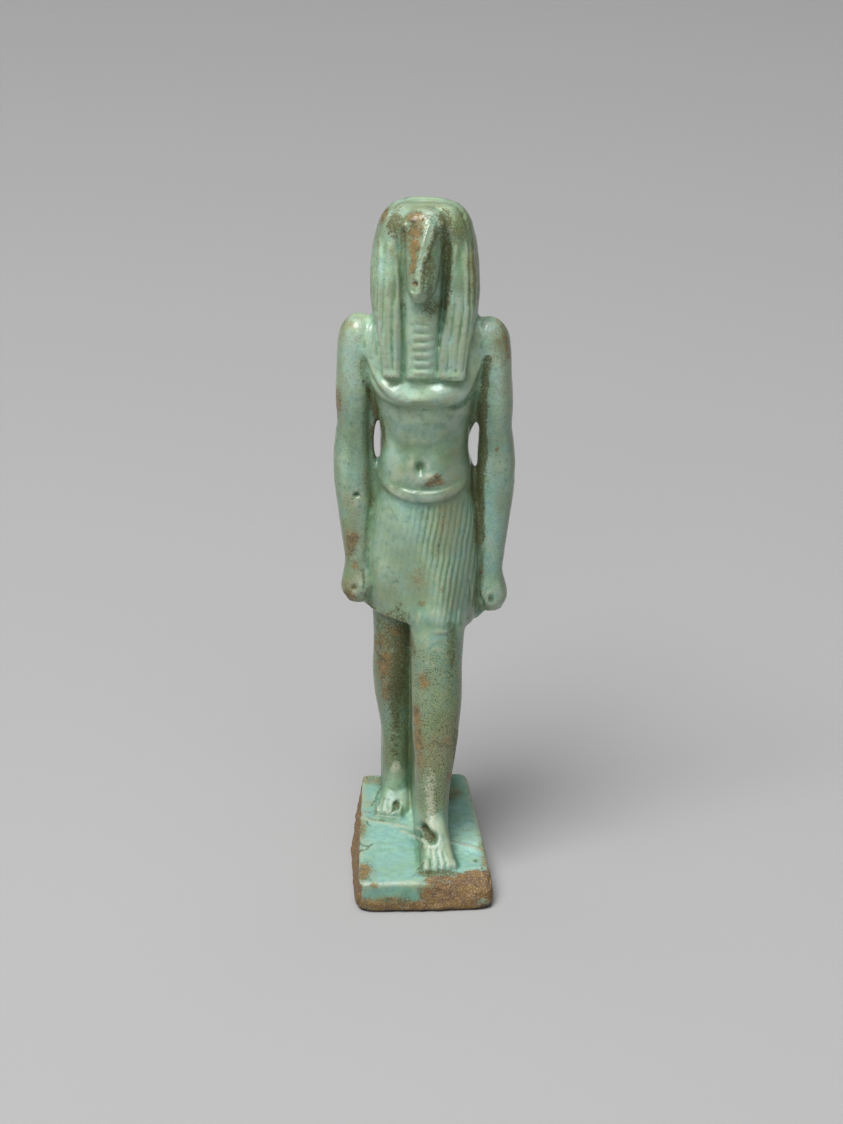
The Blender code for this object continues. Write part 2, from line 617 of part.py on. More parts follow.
def faience():
    """Blue-green glazed faience."""
    material = bpy.data.materials.new("faience")
    material.use_nodes = True
    shader = material.node_tree.nodes["Principled BSDF"]
    shader.inputs["Base Color"].default_value = (0.24, 0.42, 0.34, 1.0)
    shader.inputs["Roughness"].default_value = 0.35
    shader.inputs["Metallic"].default_value = 0.0
    return material


def join_forms(amulet, forms, cutters):
    """Unite the base with every form, then cut the hole, the slits, the navel and the corner."""
    for name, operation, group in (("forms", "UNION", forms), ("cuts", "DIFFERENCE", cutters)):
        boolean = amulet.modifiers.new(name, "BOOLEAN")
        boolean.operation = operation
        boolean.operand_type = "COLLECTION"
        boolean.collection = group
        boolean.solver = "EXACT"


def hide_tools(*groups):
    """Keep forms and cutters out of the render."""
    for group in groups:
        for thing in group.objects:
            thing.hide_render = True
            thing.display_type = "WIRE"


def main():
    clear_scene()
    parts = new_collection("deity_amulet")
    forms = new_collection("forms")
    openings = new_collection("openings")
    cutters = new_collection("cutters")
    amulet = make_base(parts)
    amulet.data.materials.append(faience())
    make_torso(forms)
    make_arms(forms)
    make_kilt(forms)
    make_wig(forms, openings)
    make_throat(forms)
    make_head(forms)
    make_legs(forms)
    make_pillar(forms)
    make_hole_cutter(cutters)
    make_navel_cutter(cutters)
    make_slit_cutters(cutters)
    make_corner_cutter(cutters)
    join_forms(amulet, forms, cutters)
    hide_tools(forms, openings, cutters)


main()
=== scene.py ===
"""Deity amulet in moulded blue-green faience: the finished model, its glaze and its stage."""
import math

import bpy
import numpy as np
from bpy.props import FloatProperty, FloatVectorProperty, PointerProperty
from mathutils import Matrix, Vector


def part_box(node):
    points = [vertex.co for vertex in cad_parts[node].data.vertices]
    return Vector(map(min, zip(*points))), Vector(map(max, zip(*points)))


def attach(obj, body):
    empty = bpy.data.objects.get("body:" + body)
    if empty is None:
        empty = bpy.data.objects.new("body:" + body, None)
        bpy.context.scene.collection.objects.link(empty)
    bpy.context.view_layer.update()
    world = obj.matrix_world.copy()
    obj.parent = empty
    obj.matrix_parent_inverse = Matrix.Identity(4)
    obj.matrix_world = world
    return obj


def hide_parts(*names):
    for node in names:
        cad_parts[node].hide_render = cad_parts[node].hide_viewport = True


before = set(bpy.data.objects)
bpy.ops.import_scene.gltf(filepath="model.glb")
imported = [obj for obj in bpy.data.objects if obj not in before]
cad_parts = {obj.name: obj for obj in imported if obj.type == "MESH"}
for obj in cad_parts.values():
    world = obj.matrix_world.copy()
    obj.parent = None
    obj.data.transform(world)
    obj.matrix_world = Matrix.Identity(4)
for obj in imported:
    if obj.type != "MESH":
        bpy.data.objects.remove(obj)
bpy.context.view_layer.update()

bl_info = {
    "name": "Faience amulet",
    "version": (1, 0, 0),
    "blender": (4, 5, 0),
    "location": "View3D > Sidebar > Amulet",
    "description": "Builds the ibis-headed faience amulet with its glaze, wear and stage",
    "category": "Object",
}

MM = 0.001
BASE_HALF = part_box("amulet")[1][1] / MM

# Sizes in millimetres. The figure's heights count from the top of the base, its depths from its axis
BASE_HEIGHT = 3.0
BASE_FRONT_WIDTH = 13.6
BASE_BACK_WIDTH = 11.0
BASE_SHIFT = -0.82
BASE_BATTER = 0.3
BASE_LEFT_BOW = 0.9
BASE_FRONT_BOW = 0.9
BACK_MARGIN = 0.45
PILLAR_WIDTH = 7.0
PILLAR_DEPTH = 2.8
PILLAR_TOP = 55.5
PILLAR_INSET = 2.2
HOLE_LEVEL = 48.3
HOLE_DIAMETER = 1.3
HOLE_WALL = 0.6
BACK_REACH = 3.4
AXIS_Y = BASE_HALF - BACK_MARGIN - PILLAR_DEPTH - BACK_REACH
PILLAR_BACK = AXIS_Y + BACK_REACH + PILLAR_DEPTH
TURN = (7.0, 24.0, 44.0)

# Horizontal sections: height z, centre x and y, half width, half depth
TRUNK = (
    (33.0, 0.0, 0.2, 4.5, 3.2), (36.0, 0.0, 0.1, 4.75, 3.55), (37.4, 0.0, 0.0, 4.65, 3.65),
    (38.6, 0.0, 0.1, 4.45, 3.6), (39.9, 0.03, 0.2, 4.28, 3.25), (42.2, 0.0, 0.2, 4.55, 3.2),
    (45.2, 0.0, 0.1, 5.0, 3.4), (48.0, 0.0, 0.1, 5.0, 3.2),
)
BREAST = (
    (44.9, 0.0, -0.1, 3.2, 2.9), (45.2, 0.0, -0.2, 4.2, 3.7), (45.7, 0.0, -0.3, 4.85, 4.2),
    (46.2, 0.0, -0.3, 5.15, 4.3), (46.8, 0.0, -0.2, 5.4, 4.2), (47.4, 0.0, -0.1, 5.6, 3.9),
    (48.1, 0.0, 0.0, 5.8, 3.65), (49.6, 0.0, 0.15, 6.1, 3.65), (51.0, 0.0, 0.3, 6.6, 3.6),
    (52.4, 0.0, 0.4, 6.4, 3.2), (53.3, 0.0, 0.5, 5.5, 2.6), (54.4, 0.0, 0.6, 3.0, 1.6),
)
ARM = (
    (23.3, 6.45, -0.6, 0.9, 1.1), (23.5, 6.5, -0.6, 1.35, 1.6), (24.0, 6.58, -0.6, 1.7, 1.95),
    (24.9, 6.65, -0.6, 1.78, 2.1), (26.0, 6.5, -0.45, 1.6, 1.85), (27.2, 6.42, -0.3, 1.38, 1.5),
    (30.0, 6.6, 0.0, 1.58, 1.75), (33.7, 6.88, 0.5, 1.82, 1.95), (36.0, 7.07, 0.75, 1.93, 2.05),
    (38.6, 7.14, 0.9, 1.9, 2.1), (40.6, 7.04, 0.9, 1.76, 2.0), (42.0, 6.98, 0.75, 1.62, 1.95),
    (44.5, 7.02, 0.6, 1.78, 2.0), (48.5, 6.78, 0.35, 1.8, 2.1), (50.3, 6.55, 0.3, 2.0, 2.2),
    (51.8, 6.45, 0.3, 1.9, 2.1), (52.8, 6.4, 0.3, 1.45, 1.6), (53.25, 6.4, 0.3, 0.8, 1.0),
)
HOOD = (
    (49.6, 0.0, 1.9, 4.2, 2.6), (51.3, 0.0, 1.4, 4.8, 3.4), (53.4, 0.0, 0.6, 5.2, 4.3),
    (56.0, 0.0, 0.1, 5.4, 4.5), (59.0, 0.0, 0.0, 5.35, 4.5), (61.5, 0.0, 0.0, 5.05, 4.4),
    (63.1, 0.0, 0.1, 4.65, 4.1), (64.2, 0.0, 0.1, 4.1, 3.65), (64.9, 0.0, 0.1, 3.35, 3.0),
    (65.25, 0.0, 0.1, 2.3, 2.1), (65.35, 0.0, 0.1, 1.1, 1.0),
)
REAR_LEG = (
    (-0.5, -3.0, 0.6, 1.4, 2.1), (1.2, -3.0, 0.5, 1.4, 2.0), (3.0, -2.95, 0.2, 1.3, 1.7),
    (4.9, -2.9, 0.1, 1.25, 1.5), (7.2, -2.95, 0.2, 1.35, 1.6), (9.5, -3.0, 0.3, 1.6, 1.9),
    (11.8, -3.1, 0.4, 1.9, 2.3), (13.5, -3.15, 0.3, 2.1, 2.5), (15.7, -3.15, 0.0, 2.2, 2.5),
    (18.5, -3.0, 0.0, 2.2, 2.5), (21.0, -2.95, 0.1, 2.3, 2.6), (25.0, -2.9, 0.2, 2.5, 2.8),
)
FRONT_LEG = (
    (-0.5, 0.45, -10.3, 1.5, 2.2), (1.0, 0.45, -10.3, 1.5, 2.2), (2.5, 0.45, -10.3, 1.48, 1.9),
    (4.3, 0.4, -9.9, 1.5, 1.7), (6.4, 0.42, -9.3, 1.65, 1.7), (9.4, 0.63, -8.4, 2.05, 2.1),
    (11.4, 0.7, -7.7, 2.3, 2.4), (15.2, 0.88, -6.5, 2.55, 2.65), (18.6, 0.9, -5.4, 2.6, 2.7),
    (21.0, 1.0, -4.6, 2.7, 2.95), (22.5, 1.1, -4.1, 2.85, 2.95), (24.0, 1.1, -3.7, 2.8, 2.6),
)
THROAT = (
    (48.3, -0.12, -2.1, 1.72, 2.12), (52.0, -0.12, -2.25, 1.74, 2.1), (54.5, -0.05, -2.3, 1.8, 2.0),
    (57.0, 0.05, -2.4, 1.85, 1.9), (61.0, 0.15, -2.5, 1.8, 1.9),
)
CHIN = (
    (56.9, -0.1, -4.8, 0.5, 0.9), (57.3, -0.05, -5.0, 1.05, 1.5), (58.1, 0.05, -5.1, 1.4, 1.9),
    (59.4, 0.12, -4.9, 1.6, 2.1), (61.0, 0.2, -4.4, 1.72, 2.15), (63.3, 0.2, -3.4, 1.75, 1.9),
)

# Upright sections of the feet: distance y, centre x, half width, height of the instep
FRONT_FOOT = (
    (-8.1, 0.4, 0.9, 1.2), (-8.5, 0.4, 1.2, 2.2), (-9.4, 0.4, 1.45, 3.6), (-11.2, 0.45, 1.5, 4.8),
    (-12.6, 0.52, 1.6, 3.4), (-13.9, 0.62, 1.72, 2.05), (-15.0, 0.7, 1.75, 1.25),
    (-15.5, 0.7, 1.6, 0.8),
)
REAR_FOOT = (
    (3.4, -2.95, 0.9, 1.4), (3.0, -2.95, 1.15, 2.2), (1.4, -2.95, 1.3, 3.6), (-0.4, -3.05, 1.5, 3.3),
    (-1.4, -3.15, 1.7, 2.2), (-2.5, -3.4, 1.65, 1.25), (-2.9, -3.5, 1.4, 0.8),
)

# Toes: middle x, root y, half width, tip y of the big toe, how far they turn out, big toe's side
FRONT_TOES = (0.7, -14.2, 1.8, -16.2, 0.0, -1)
REAR_TOES = (-3.6, -1.9, 1.45, -3.7, 0.25, 1)
TOE_SHARES = (0.29, 0.2, 0.18, 0.17, 0.16)

# Lappets of the wig: height, centre x, half width, front y, back y
LEFT_LAPPET = (
    (48.4, -2.92, 0.88, -4.3, -1.6), (50.5, -3.05, 1.02, -4.5, -2.0), (53.0, -3.22, 1.27, -4.55, -1.8),
    (56.0, -3.5, 1.52, -4.5, -1.5), (58.5, -3.6, 1.5, -4.3, -1.2), (61.0, -3.5, 1.2, -3.6, -1.0),
    (63.2, -3.2, 0.6, -2.4, -0.8),
)
RIGHT_LAPPET = (
    (48.4, 2.95, 1.32, -4.3, -1.6), (50.5, 3.08, 1.4, -4.5, -2.0), (53.0, 3.4, 1.5, -4.55, -1.8),
    (56.0, 3.8, 1.5, -4.5, -1.5), (58.5, 3.95, 1.4, -4.3, -1.2), (61.0, 3.8, 1.2, -3.6, -1.0),
    (63.2, 3.4, 0.6, -2.4, -0.8),
)

# Opening in front of the face: height, centre x, half width
FACE_OPENING = (
    (47.3, -0.2, 1.8), (52.5, -0.1, 1.88), (55.5, 0.15, 2.1), (58.2, 0.25, 2.25), (61.7, 0.33, 2.6),
    (63.3, 0.33, 2.8), (64.05, 0.3, 2.6), (64.45, 0.3, 1.9), (64.6, 0.3, -0.5),
)
FACE_DEPTH = -2.9
ARCH_CENTRE = 62.0
HOOD_FRONT = -4.5
STRAND_PITCH = 0.9
STRAND_WANDER = 0.08

# Beak's stump: ridge x, y, z, half width to the left and right of it, thickness below the ridge
BEAK = (
    (0.5, -3.3, 65.2, 1.75, 1.15, 2.6), (0.5, -4.5, 64.75, 1.75, 1.2, 2.6),
    (0.25, -5.6, 63.4, 1.5, 1.25, 2.5), (0.0, -6.5, 61.6, 1.2, 1.0, 2.2),
    (-0.2, -7.1, 60.0, 0.95, 0.8, 1.8), (-0.3, -7.35, 58.7, 0.75, 0.6, 1.3),
    (-0.3, -7.3, 58.0, 0.35, 0.3, 0.7),
)
BEAK_SECTION = (
    (1.0, 1.0), (-0.8, 1.0), (-1.0, 0.6), (-0.88, 0.3), (-0.12, 0.0), (0.1, 0.0), (0.6, 0.1),
    (0.8, 0.5), (1.0, 0.66),
)
SKULL = (
    (60.5, 0.1, -3.0, 1.7, 1.2), (62.5, 0.12, -3.0, 1.85, 1.4), (63.6, 0.12, -3.0, 2.1, 1.45),
    (64.5, 0.12, -2.9, 2.1, 1.45), (65.1, 0.12, -2.7, 1.7, 1.3), (65.4, 0.12, -2.5, 1.1, 1.1),
    (65.55, 0.12, -2.3, 0.6, 0.6),
)
CHEEK = (
    (55.4, -1.85, -2.8, 0.3, 0.6), (56.5, -1.85, -2.9, 0.55, 0.95), (60.0, -1.85, -2.9, 0.55, 1.0),
    (63.5, -1.8, -2.6, 0.5, 0.9), (64.2, -1.7, -2.4, 0.3, 0.5),
)
EYES = ((-1.68, -3.85, 64.15), (1.86, -3.75, 64.35))

# Kilt: share of the way down, half width at the left and right, half depth at the front and back
KILT = (
    (0.0, 4.6, 4.55, 3.65, 3.6), (0.25, 5.5, 5.45, 3.8, 3.9), (0.6, 6.15, 5.8, 4.0, 3.8),
    (0.85, 6.0, 5.65, 4.1, 3.4), (1.0, 5.6, 5.3, 4.1, 3.2),
)
KILT_TOP = (36.3, 1.2)
KILT_HEM = (22.0, 0.1)
THIGH = (3.4, 1.5, 3.0, 0.5)
HEM_LIP = 0.06
HEM_TUCK = 1.3
BELT_WIDTH = 1.15
BELT_RELIEF = 0.3
BELT_TUCK = 0.6

# Arms: how far each hangs lower and stands out, and the web beside the waist with its slit
ARM_LIFT = {"left": 0.35, "right": -0.9}
ARM_SHIFT = {"left": -0.2, "right": 0.0}
FIST_LEVEL = 24.6
THUMB = (0.3, -1.35, 0.25)
THUMB_RADII = (0.7, 0.75, 1.1)
KNUCKLES = 4
KNUCKLE = (0.1, -1.0, -0.9)
KNUCKLE_PITCH = 0.7
KNUCKLE_RADII = (1.3, 0.5, 0.55)
WEB_BOTTOM = {"left": 22.5, "right": 21.3}
WEB_TOP = 49.5
WEB_HALF = 0.75
WEB_INNER = 3.4
WEB_TAPER = 1.1
SLITS = {
    "left": ((-4.87, -4.65, -4.63), (37.5, 40.4, 42.8), 0.52),
    "right": ((4.98, 4.92, 5.15), (36.8, 39.8, 42.6), 0.68),
}
SLIT_OVERLAP = 0.12

# Web behind the front leg: height and front y, its left side and its width
LEG_WEB = ((-0.3, -10.0), (9.0, -8.2), (18.0, -5.4), (25.0, -3.0))
LEG_WEB_LEFT = -1.4
LEG_WEB_WIDTH = 3.2
LEG_WEB_OVERLAP = 0.5

# Round parts: centre and radii
CROWN = ((0.2, -2.7, 62.7), (2.0, 2.4, 2.5))
EYE_RADII = (0.42, 0.36, 0.38)
KNEE = ((1.3, -6.6, 19.3), (1.3, 1.15, 1.2))

# Thin raised band at the foot of the throat and of both lappets: level, half width, relief
BAND = (48.75, 0.32, 0.13)

# Rings of the back pillar: height and inset, and of the base: level, inset, share of the way up
PILLAR_RINGS = (
    (-0.4, 0.0), (PILLAR_TOP - 0.35, 0.0), (PILLAR_TOP - 0.1, 0.1), (PILLAR_TOP, 0.35),
)
BASE_FOOT = ((0.0, 0.9, 0.0), (0.0, 0.5, 0.0), (0.14, 0.2, 0.03), (0.4, 0.02, 0.1))
BASE_SIDE = (0.6, 2.6, 12)
BASE_TOP = (
    (2.75, 0.02, 0.92), (2.9, 0.1, 0.97), (3.0, 0.3, 1.0), (3.0, 1.0, 1.0), (3.0, 2.0, 1.0),
    (3.0, 3.0, 1.0), (3.0, 4.0, 1.0), (3.0, 5.0, 1.0),
)
TRIANGLE_LIMIT = 190000

# Sampling of each table: step in millimetres, and rounds of averaging
SAMPLING = {
    "trunk": (0.25, 10), "breast": (0.2, 4), "throat": (0.1, 4), "hood": (0.14, 5), "lappet": (0.15, 4),
    "arm": (0.2, 8), "beak": (0.1, 6), "skull": (0.15, 4), "cheek": (0.15, 4), "chin": (0.15, 6),
    "leg": (0.25, 14), "foot": (0.15, 6),
}

# Rings of each form: points round the ring, and the power of its superellipse
CURVES = {
    "trunk": (160, 2.25), "breast": (200, 2.35), "throat": (120, 4.0), "hood": (520, 2.6),
    "lappet": (120, 6.0), "lappet top": (120, 2.6), "arm": (96, 2.15), "wall": (48, 5.0),
    "skull": (96, 2.4), "cheek": (96, 3.0), "chin": (96, 2.1), "leg": (120, 2.0), "foot": (96, 2.4),
    "pillar": (160, 16.0), "base": (320, 22.0),
}
KILT_SIDES = 480
KILT_RINGS = 70
BELT_RINGS = 12
HOLE_SIDES = 40
BALL_RINGS = 24
HAND_RINGS = 14
TOE_RINGS = 20


def smooth_step(value):
    """Rise smoothly from 0 to 1: 3v^2 - 2v^3 of the value held between 0 and 1."""
    share = np.clip(value, 0.0, 1.0)
    return share * share * (3 - 2 * share)


def over(value, level, span):
    """Share that rises smoothly from 0 at a level to 1 a span above it."""
    return smooth_step((value - level) / span)


def under(value, level, span):
    """Share that falls smoothly from 1 a span below a level to 0 at the level."""
    return smooth_step((level - value) / span)


def bell(value, middle, width):
    """Gaussian bump of height 1 round the middle."""
    return np.exp(-((value - middle) / width) ** 2)


def fine_rows(rows, step, rounds):
    """Sample a table evenly along its own length, then average neighbours so that its bends are round."""
    table = np.array(rows, float)
    along = np.concatenate(([0.0], np.cumsum(np.abs(np.diff(table, axis=0)).max(axis=1))))
    share = np.linspace(0.0, along[-1], int(along[-1] / step) + 2)
    fine = np.column_stack([np.interp(share, along, column) for column in table.T])
    for _ in range(rounds):
        fine[1:-1] = (fine[:-2] + 2 * fine[1:-1] + fine[2:]) / 4
    return fine


def ring_curve(sides, power):
    """Superellipse: signed powers of cosine and sine, squarer as the power rises above 2."""
    angle = np.arange(sides) * 2 * math.pi / sides
    c = np.cos(angle)
    s = np.sin(angle)
    return np.sign(c) * abs(c) ** (2 / power), np.sign(s) * abs(s) ** (2 / power)


def level_rings(table, sides, power):
    """Grid of height by angle: a superellipse about each row's centre, with its half width and depth."""
    c, s = ring_curve(sides, power)
    grid = np.empty((len(table), sides, 3))
    grid[:, :, 0] = table[:, 1:2] + table[:, 3:4] * c
    grid[:, :, 1] = table[:, 2:3] + table[:, 4:5] * s
    grid[:, :, 2] = table[:, 0:1]
    return grid


def smooth_rings(rows, name):
    """Rings of a form from its table, by the form's sampling and curve."""
    return level_rings(fine_rows(rows, *SAMPLING[name]), *CURVES[name])


def ball_rings(centre, radii, count=BALL_RINGS):
    """Ellipsoid: rings of latitude about the centre, with a radius for each axis."""
    tilt = np.linspace(-math.pi / 2, math.pi / 2, count)[1:-1, None]
    angle = np.arange(2 * count)[None, :] * math.pi / count
    grid = np.stack((np.cos(tilt) * np.cos(angle), np.cos(tilt) * np.sin(angle),
                     np.sin(tilt) + 0 * angle), axis=2)
    return grid * np.array(radii) + np.array(centre)


def turned(points, sense=1):
    """Turn the body above the kilt about its axis, by an angle that rises smoothly with height."""
    degrees, start, full = TURN
    angle = sense * math.radians(degrees) * over(points[..., 2], start, full - start)
    out = points.copy()
    out[..., 0] = points[..., 0] * np.cos(angle) + points[..., 1] * np.sin(angle)
    out[..., 1] = points[..., 1] * np.cos(angle) - points[..., 0] * np.sin(angle)
    return out


def unturned(points):
    """Undo the turn of the body, to read a place in the figure's own straight frame."""
    return turned(points, -1)


def placed(points):
    """Move figure points into the row frame, still in millimetres."""
    return points + np.array((0.0, AXIS_Y, BASE_HEIGHT))


def shell(grid):
    """Close a grid of rings with a pole at each end; faces are turned outwards by the signed volume."""
    rows, sides = grid.shape[:2]
    points = np.concatenate((grid.reshape(-1, 3), grid[:1].mean(axis=1), grid[-1:].mean(axis=1)))
    index = np.arange(rows * sides).reshape(rows, sides)
    after = np.roll(index, -1, axis=1)
    quads = np.stack((index[:-1], after[:-1], after[1:], index[1:]), axis=2).reshape(-1, 4)
    pole = np.full(sides, rows * sides)
    first = np.stack((after[0], index[0], pole), axis=1)
    last = np.stack((index[-1], after[-1], pole + 1), axis=1)
    triangles = np.concatenate((quads[:, (0, 1, 2)], quads[:, (0, 2, 3)], first, last))
    a, b, c = (points[triangles[:, corner]] for corner in range(3))
    if (a * np.cross(b, c)).sum() < 0:
        triangles = triangles[:, ::-1]
    return points, triangles


def turned_shell(grid):
    """Closed form of rings that turn with the body, placed in the row frame."""
    return shell(placed(turned(grid)))


def opening(level):
    """Centre and half width of the opening in front of the face at a level."""
    table = np.array(FACE_OPENING)
    return np.interp(level, table[:, 0], table[:, 1]), np.interp(level, table[:, 0], table[:, 2])


def strand_place(grid):
    """Distance across the wig's strands from the edge of the face: sideways on the front, an arch
    over the brow, and backwards on the sides and the top."""
    x, y, z = grid[..., 0], grid[..., 1], grid[..., 2]
    centre, _ = opening(z)
    _, half = opening(np.minimum(z, ARCH_CENTRE))
    rise = np.maximum(z - ARCH_CENTRE, 0.0)
    return np.hypot(x - centre, rise) - half + (y - HOOD_FRONT)


def furrows(place, pitch):
    """Depth from 0 to 1 of rounded ridges at a pitch: the sine's cusps make narrow furrows."""
    return (1 - abs(np.sin(math.pi * place / pitch))) ** 1.5


def hood_form():
    """Hood: squarish rings, pushed back to a flat in front of the face."""
    grid = smooth_rings(HOOD, "hood")
    centre, half = opening(grid[..., 2])
    soft = 0.45 + 0.6 * over(grid[..., 2], 60.0, 3)
    inside = smooth_step((half - abs(grid[..., 0] - centre)) / soft + 0.5)
    back = FACE_DEPTH - 0.6 * over(grid[..., 2], 61.5, 2.8)
    depth = np.maximum(back - grid[..., 1], 0.0)
    grid[..., 1] += depth * inside
    return turned_shell(grid)


def lappet_form(rows):
    """Lappet: a flat box with a band at its end, rounder in section as it rises into the hood."""
    table = fine_rows(rows, *SAMPLING["lappet"])
    share = over(table[:, 0:1], 52.0, 6)
    curves = zip(ring_curve(*CURVES["lappet"]), ring_curve(*CURVES["lappet top"]))
    c, s = (low + share * (high - low) for low, high in curves)
    grid = np.empty((*c.shape, 3))
    grid[:, :, 0] = table[:, 1:2] + table[:, 2:3] * c
    middle = (table[:, 3:4] + table[:, 4:5]) / 2
    grid[:, :, 1] = middle + (table[:, 4:5] - table[:, 3:4]) / 2 * s
    grid[:, :, 2] = table[:, 0:1]
    level, width, relief = BAND
    grid[:, :, 1] -= relief * bell(grid[..., 2], level, width) * smooth_step(-s * 3)
    return turned_shell(grid)


def trunk_form():
    """Trunk: rings from inside the kilt to the neck."""
    return turned_shell(smooth_rings(TRUNK, "trunk"))


def breast_form():
    """Breast: rings that overhang the belly and close at the neck, with a shallow cleft in the middle."""
    grid = smooth_rings(BREAST, "breast")
    cleft = 0.1 * bell(grid[..., 0], 0.2, 0.9) * bell(grid[..., 2], 45.6, 0.9)
    grid[..., 1] += cleft * (grid[..., 1] < 0)
    return turned_shell(grid)


def arm_rows(side):
    """Rows of one arm, lifted or lowered towards the fist and set out to its side."""
    rows = fine_rows(ARM, *SAMPLING["arm"])
    top = rows[-1, 0]
    rows[:, 0] += ARM_LIFT[side] * (top - rows[:, 0]) / (top - rows[0, 0])
    rows[:, 1] = (-1 if side == "left" else 1) * rows[:, 1] + ARM_SHIFT[side]
    return rows


def fist_forms(side, rows):
    """Thumb and knuckles of a closed fist: ellipsoids set out from the middle of the hand."""
    sign = -1 if side == "left" else 1
    hand = [np.interp(FIST_LEVEL + ARM_LIFT[side], rows[:, 0], rows[:, column]) for column in range(3)]
    inward, forward, up = THUMB
    balls = [((hand[1] - sign * inward, hand[2] + forward, hand[0] + up), THUMB_RADII)]
    inward, forward, up = KNUCKLE
    for index in range(KNUCKLES):
        place = (hand[1] - sign * inward, hand[2] + forward + KNUCKLE_PITCH * index, hand[0] + up)
        balls.append((place, KNUCKLE_RADII))
    return [turned_shell(ball_rings(*ball, HAND_RINGS)) for ball in balls]


def web_forms(side, rows):
    """Two walls of the web between the body and an arm, with a lens-shaped slit between them."""
    sign = -1 if side == "left" else 1
    levels = np.arange(WEB_BOTTOM[side], WEB_TOP, 0.2)
    arm_x = np.interp(levels, rows[:, 0], rows[:, 1])
    arm_x = arm_x - sign * WEB_TAPER * np.maximum(rows[0, 0] - levels, 0.0)
    arm_y = np.interp(levels, rows[:, 0], rows[:, 2])
    across, heights, half_width = SLITS[side]
    middle = np.interp(levels, heights, across)
    share = np.clip((levels - heights[0]) / (heights[-1] - heights[0]), 0.0, 1.0)
    gap = half_width * np.sin(share * math.pi) - SLIT_OVERLAP * ((share <= 0) | (share >= 1))
    body_edge = sign * WEB_INNER + 0 * levels
    walls = ((body_edge, middle - sign * gap), (middle + sign * gap, arm_x))
    return [turned_shell(wall_rings(*wall, arm_y, levels, WEB_HALF)) for wall in walls]


def arm_forms(side):
    """Arm with its closed fist, and the web beside the waist."""
    rows = arm_rows(side)
    arm = turned_shell(level_rings(rows, *CURVES["arm"]))
    return [arm, *fist_forms(side, rows), *web_forms(side, rows)]


def wall_rings(low, high, middle_y, levels, half):
    """Upright wall: at each level a rounded strip from low x to high x, half its thickness each way."""
    c, s = ring_curve(*CURVES["wall"])
    grid = np.empty((len(levels), len(c), 3))
    grid[:, :, 0] = (low + high)[:, None] / 2 + (high - low)[:, None] / 2 * c
    grid[:, :, 1] = middle_y[:, None] + half * s
    grid[:, :, 2] = levels[:, None]
    return grid


def kilt_ring(share, out, angle):
    """Ring of the kilt: uneven halves, a bell of thigh pushed forward, and a hem that follows it."""
    rows = np.array(KILT)
    left, right, front, back = (np.interp(share, rows[:, 0], rows[:, k]) for k in (1, 2, 3, 4))
    c = np.cos(angle)
    s = np.sin(angle)
    x = np.where(c < 0, left, right) * np.sign(c) * abs(c) ** 0.92
    y = np.where(s < 0, front, back) * np.sign(s) * abs(s) ** 0.92
    frontal = np.clip(-s, 0, 1)
    reach, centre, width, lift = THIGH
    thigh = bell(x, centre, width) * share ** 1.4 * smooth_step(frontal * 1.6)
    y = y - reach * thigh
    length = np.hypot(x, y)
    top = KILT_TOP[0] - KILT_TOP[1] * frontal ** 2
    hem = KILT_HEM[0] - KILT_HEM[1] * x + lift * thigh
    return np.stack((x + out * x / length, y + out * y / length, top + (hem - top) * share), axis=1)


def kilt_form():
    """Kilt: rings from hem to belt, with a thin lip at the hem and the belt as a raised roll."""
    angle = np.arange(KILT_SIDES) * 2 * math.pi / KILT_SIDES
    flat = np.zeros(len(angle))
    rings = [kilt_ring(1.0, flat - HEM_TUCK, angle)]
    for share in np.linspace(1.0, 0.0, KILT_RINGS):
        hem = HEM_LIP * bell(share, 0.985, 0.02)
        rings.append(kilt_ring(share, flat - 0.1 + hem, angle))
    relief = BELT_RELIEF * (0.35 + 0.65 * under(abs(np.cos(angle)), 0.95, 0.3))
    for rise in np.linspace(0.0, 1.0, BELT_RINGS):
        ring = kilt_ring(0.0, flat + relief * (1 - abs(2 * rise - 1) ** 3) ** 0.5, angle)
        ring[:, 2] += BELT_WIDTH * rise
        rings.append(ring)
    inner = kilt_ring(0.0, flat - BELT_TUCK, angle)
    inner[:, 2] += BELT_WIDTH
    rings.append(inner)
    return turned_shell(np.array(rings))


def throat_form():
    """Throat: rounded rings with the band at its foot."""
    grid = smooth_rings(THROAT, "throat")
    level, width, relief = BAND
    grid[..., 1] -= relief * bell(grid[..., 2], level, width) * (grid[..., 1] < -2.5)
    return turned_shell(grid)


def beak_form():
    """Beak's stump: a section with a keel and two flat faces, square to its curved ridge."""
    table = fine_rows(BEAK, *SAMPLING["beak"])
    path = table[:, :3]
    along = np.gradient(path, axis=0)
    along /= np.linalg.norm(along, axis=1, keepdims=True)
    across = np.cross(along, (0.0, 0.0, 1.0))
    across /= np.linalg.norm(across, axis=1, keepdims=True)
    across *= np.sign(across[:, :1])
    inward = np.cross(across, along)
    inward *= np.sign(inward[:, 1:2])
    section = np.array(BEAK_SECTION + BEAK_SECTION[:1])
    corner = np.arange(len(section))
    share = np.linspace(0, len(section) - 1, 96, endpoint=False)
    side, deep = (np.interp(share, corner, section[:, k])[None, :, None] for k in (0, 1))
    width = np.where(side < 0, table[:, None, 3:4], table[:, None, 4:5])
    grid = path[:, None] + across[:, None] * side * width + inward[:, None] * deep * table[:, None, 5:6]
    return turned_shell(grid)


def head_forms():
    """Bird's head: the crown, an eye on each side, the beak's stump and the chin under it."""
    balls = [CROWN, *((eye, EYE_RADII) for eye in EYES)]
    forms = [turned_shell(ball_rings(*ball)) for ball in balls]
    forms.append(beak_form())
    for rows, name in ((SKULL, "skull"), (CHEEK, "cheek"), (CHIN, "chin")):
        forms.append(turned_shell(smooth_rings(rows, name)))
    return forms


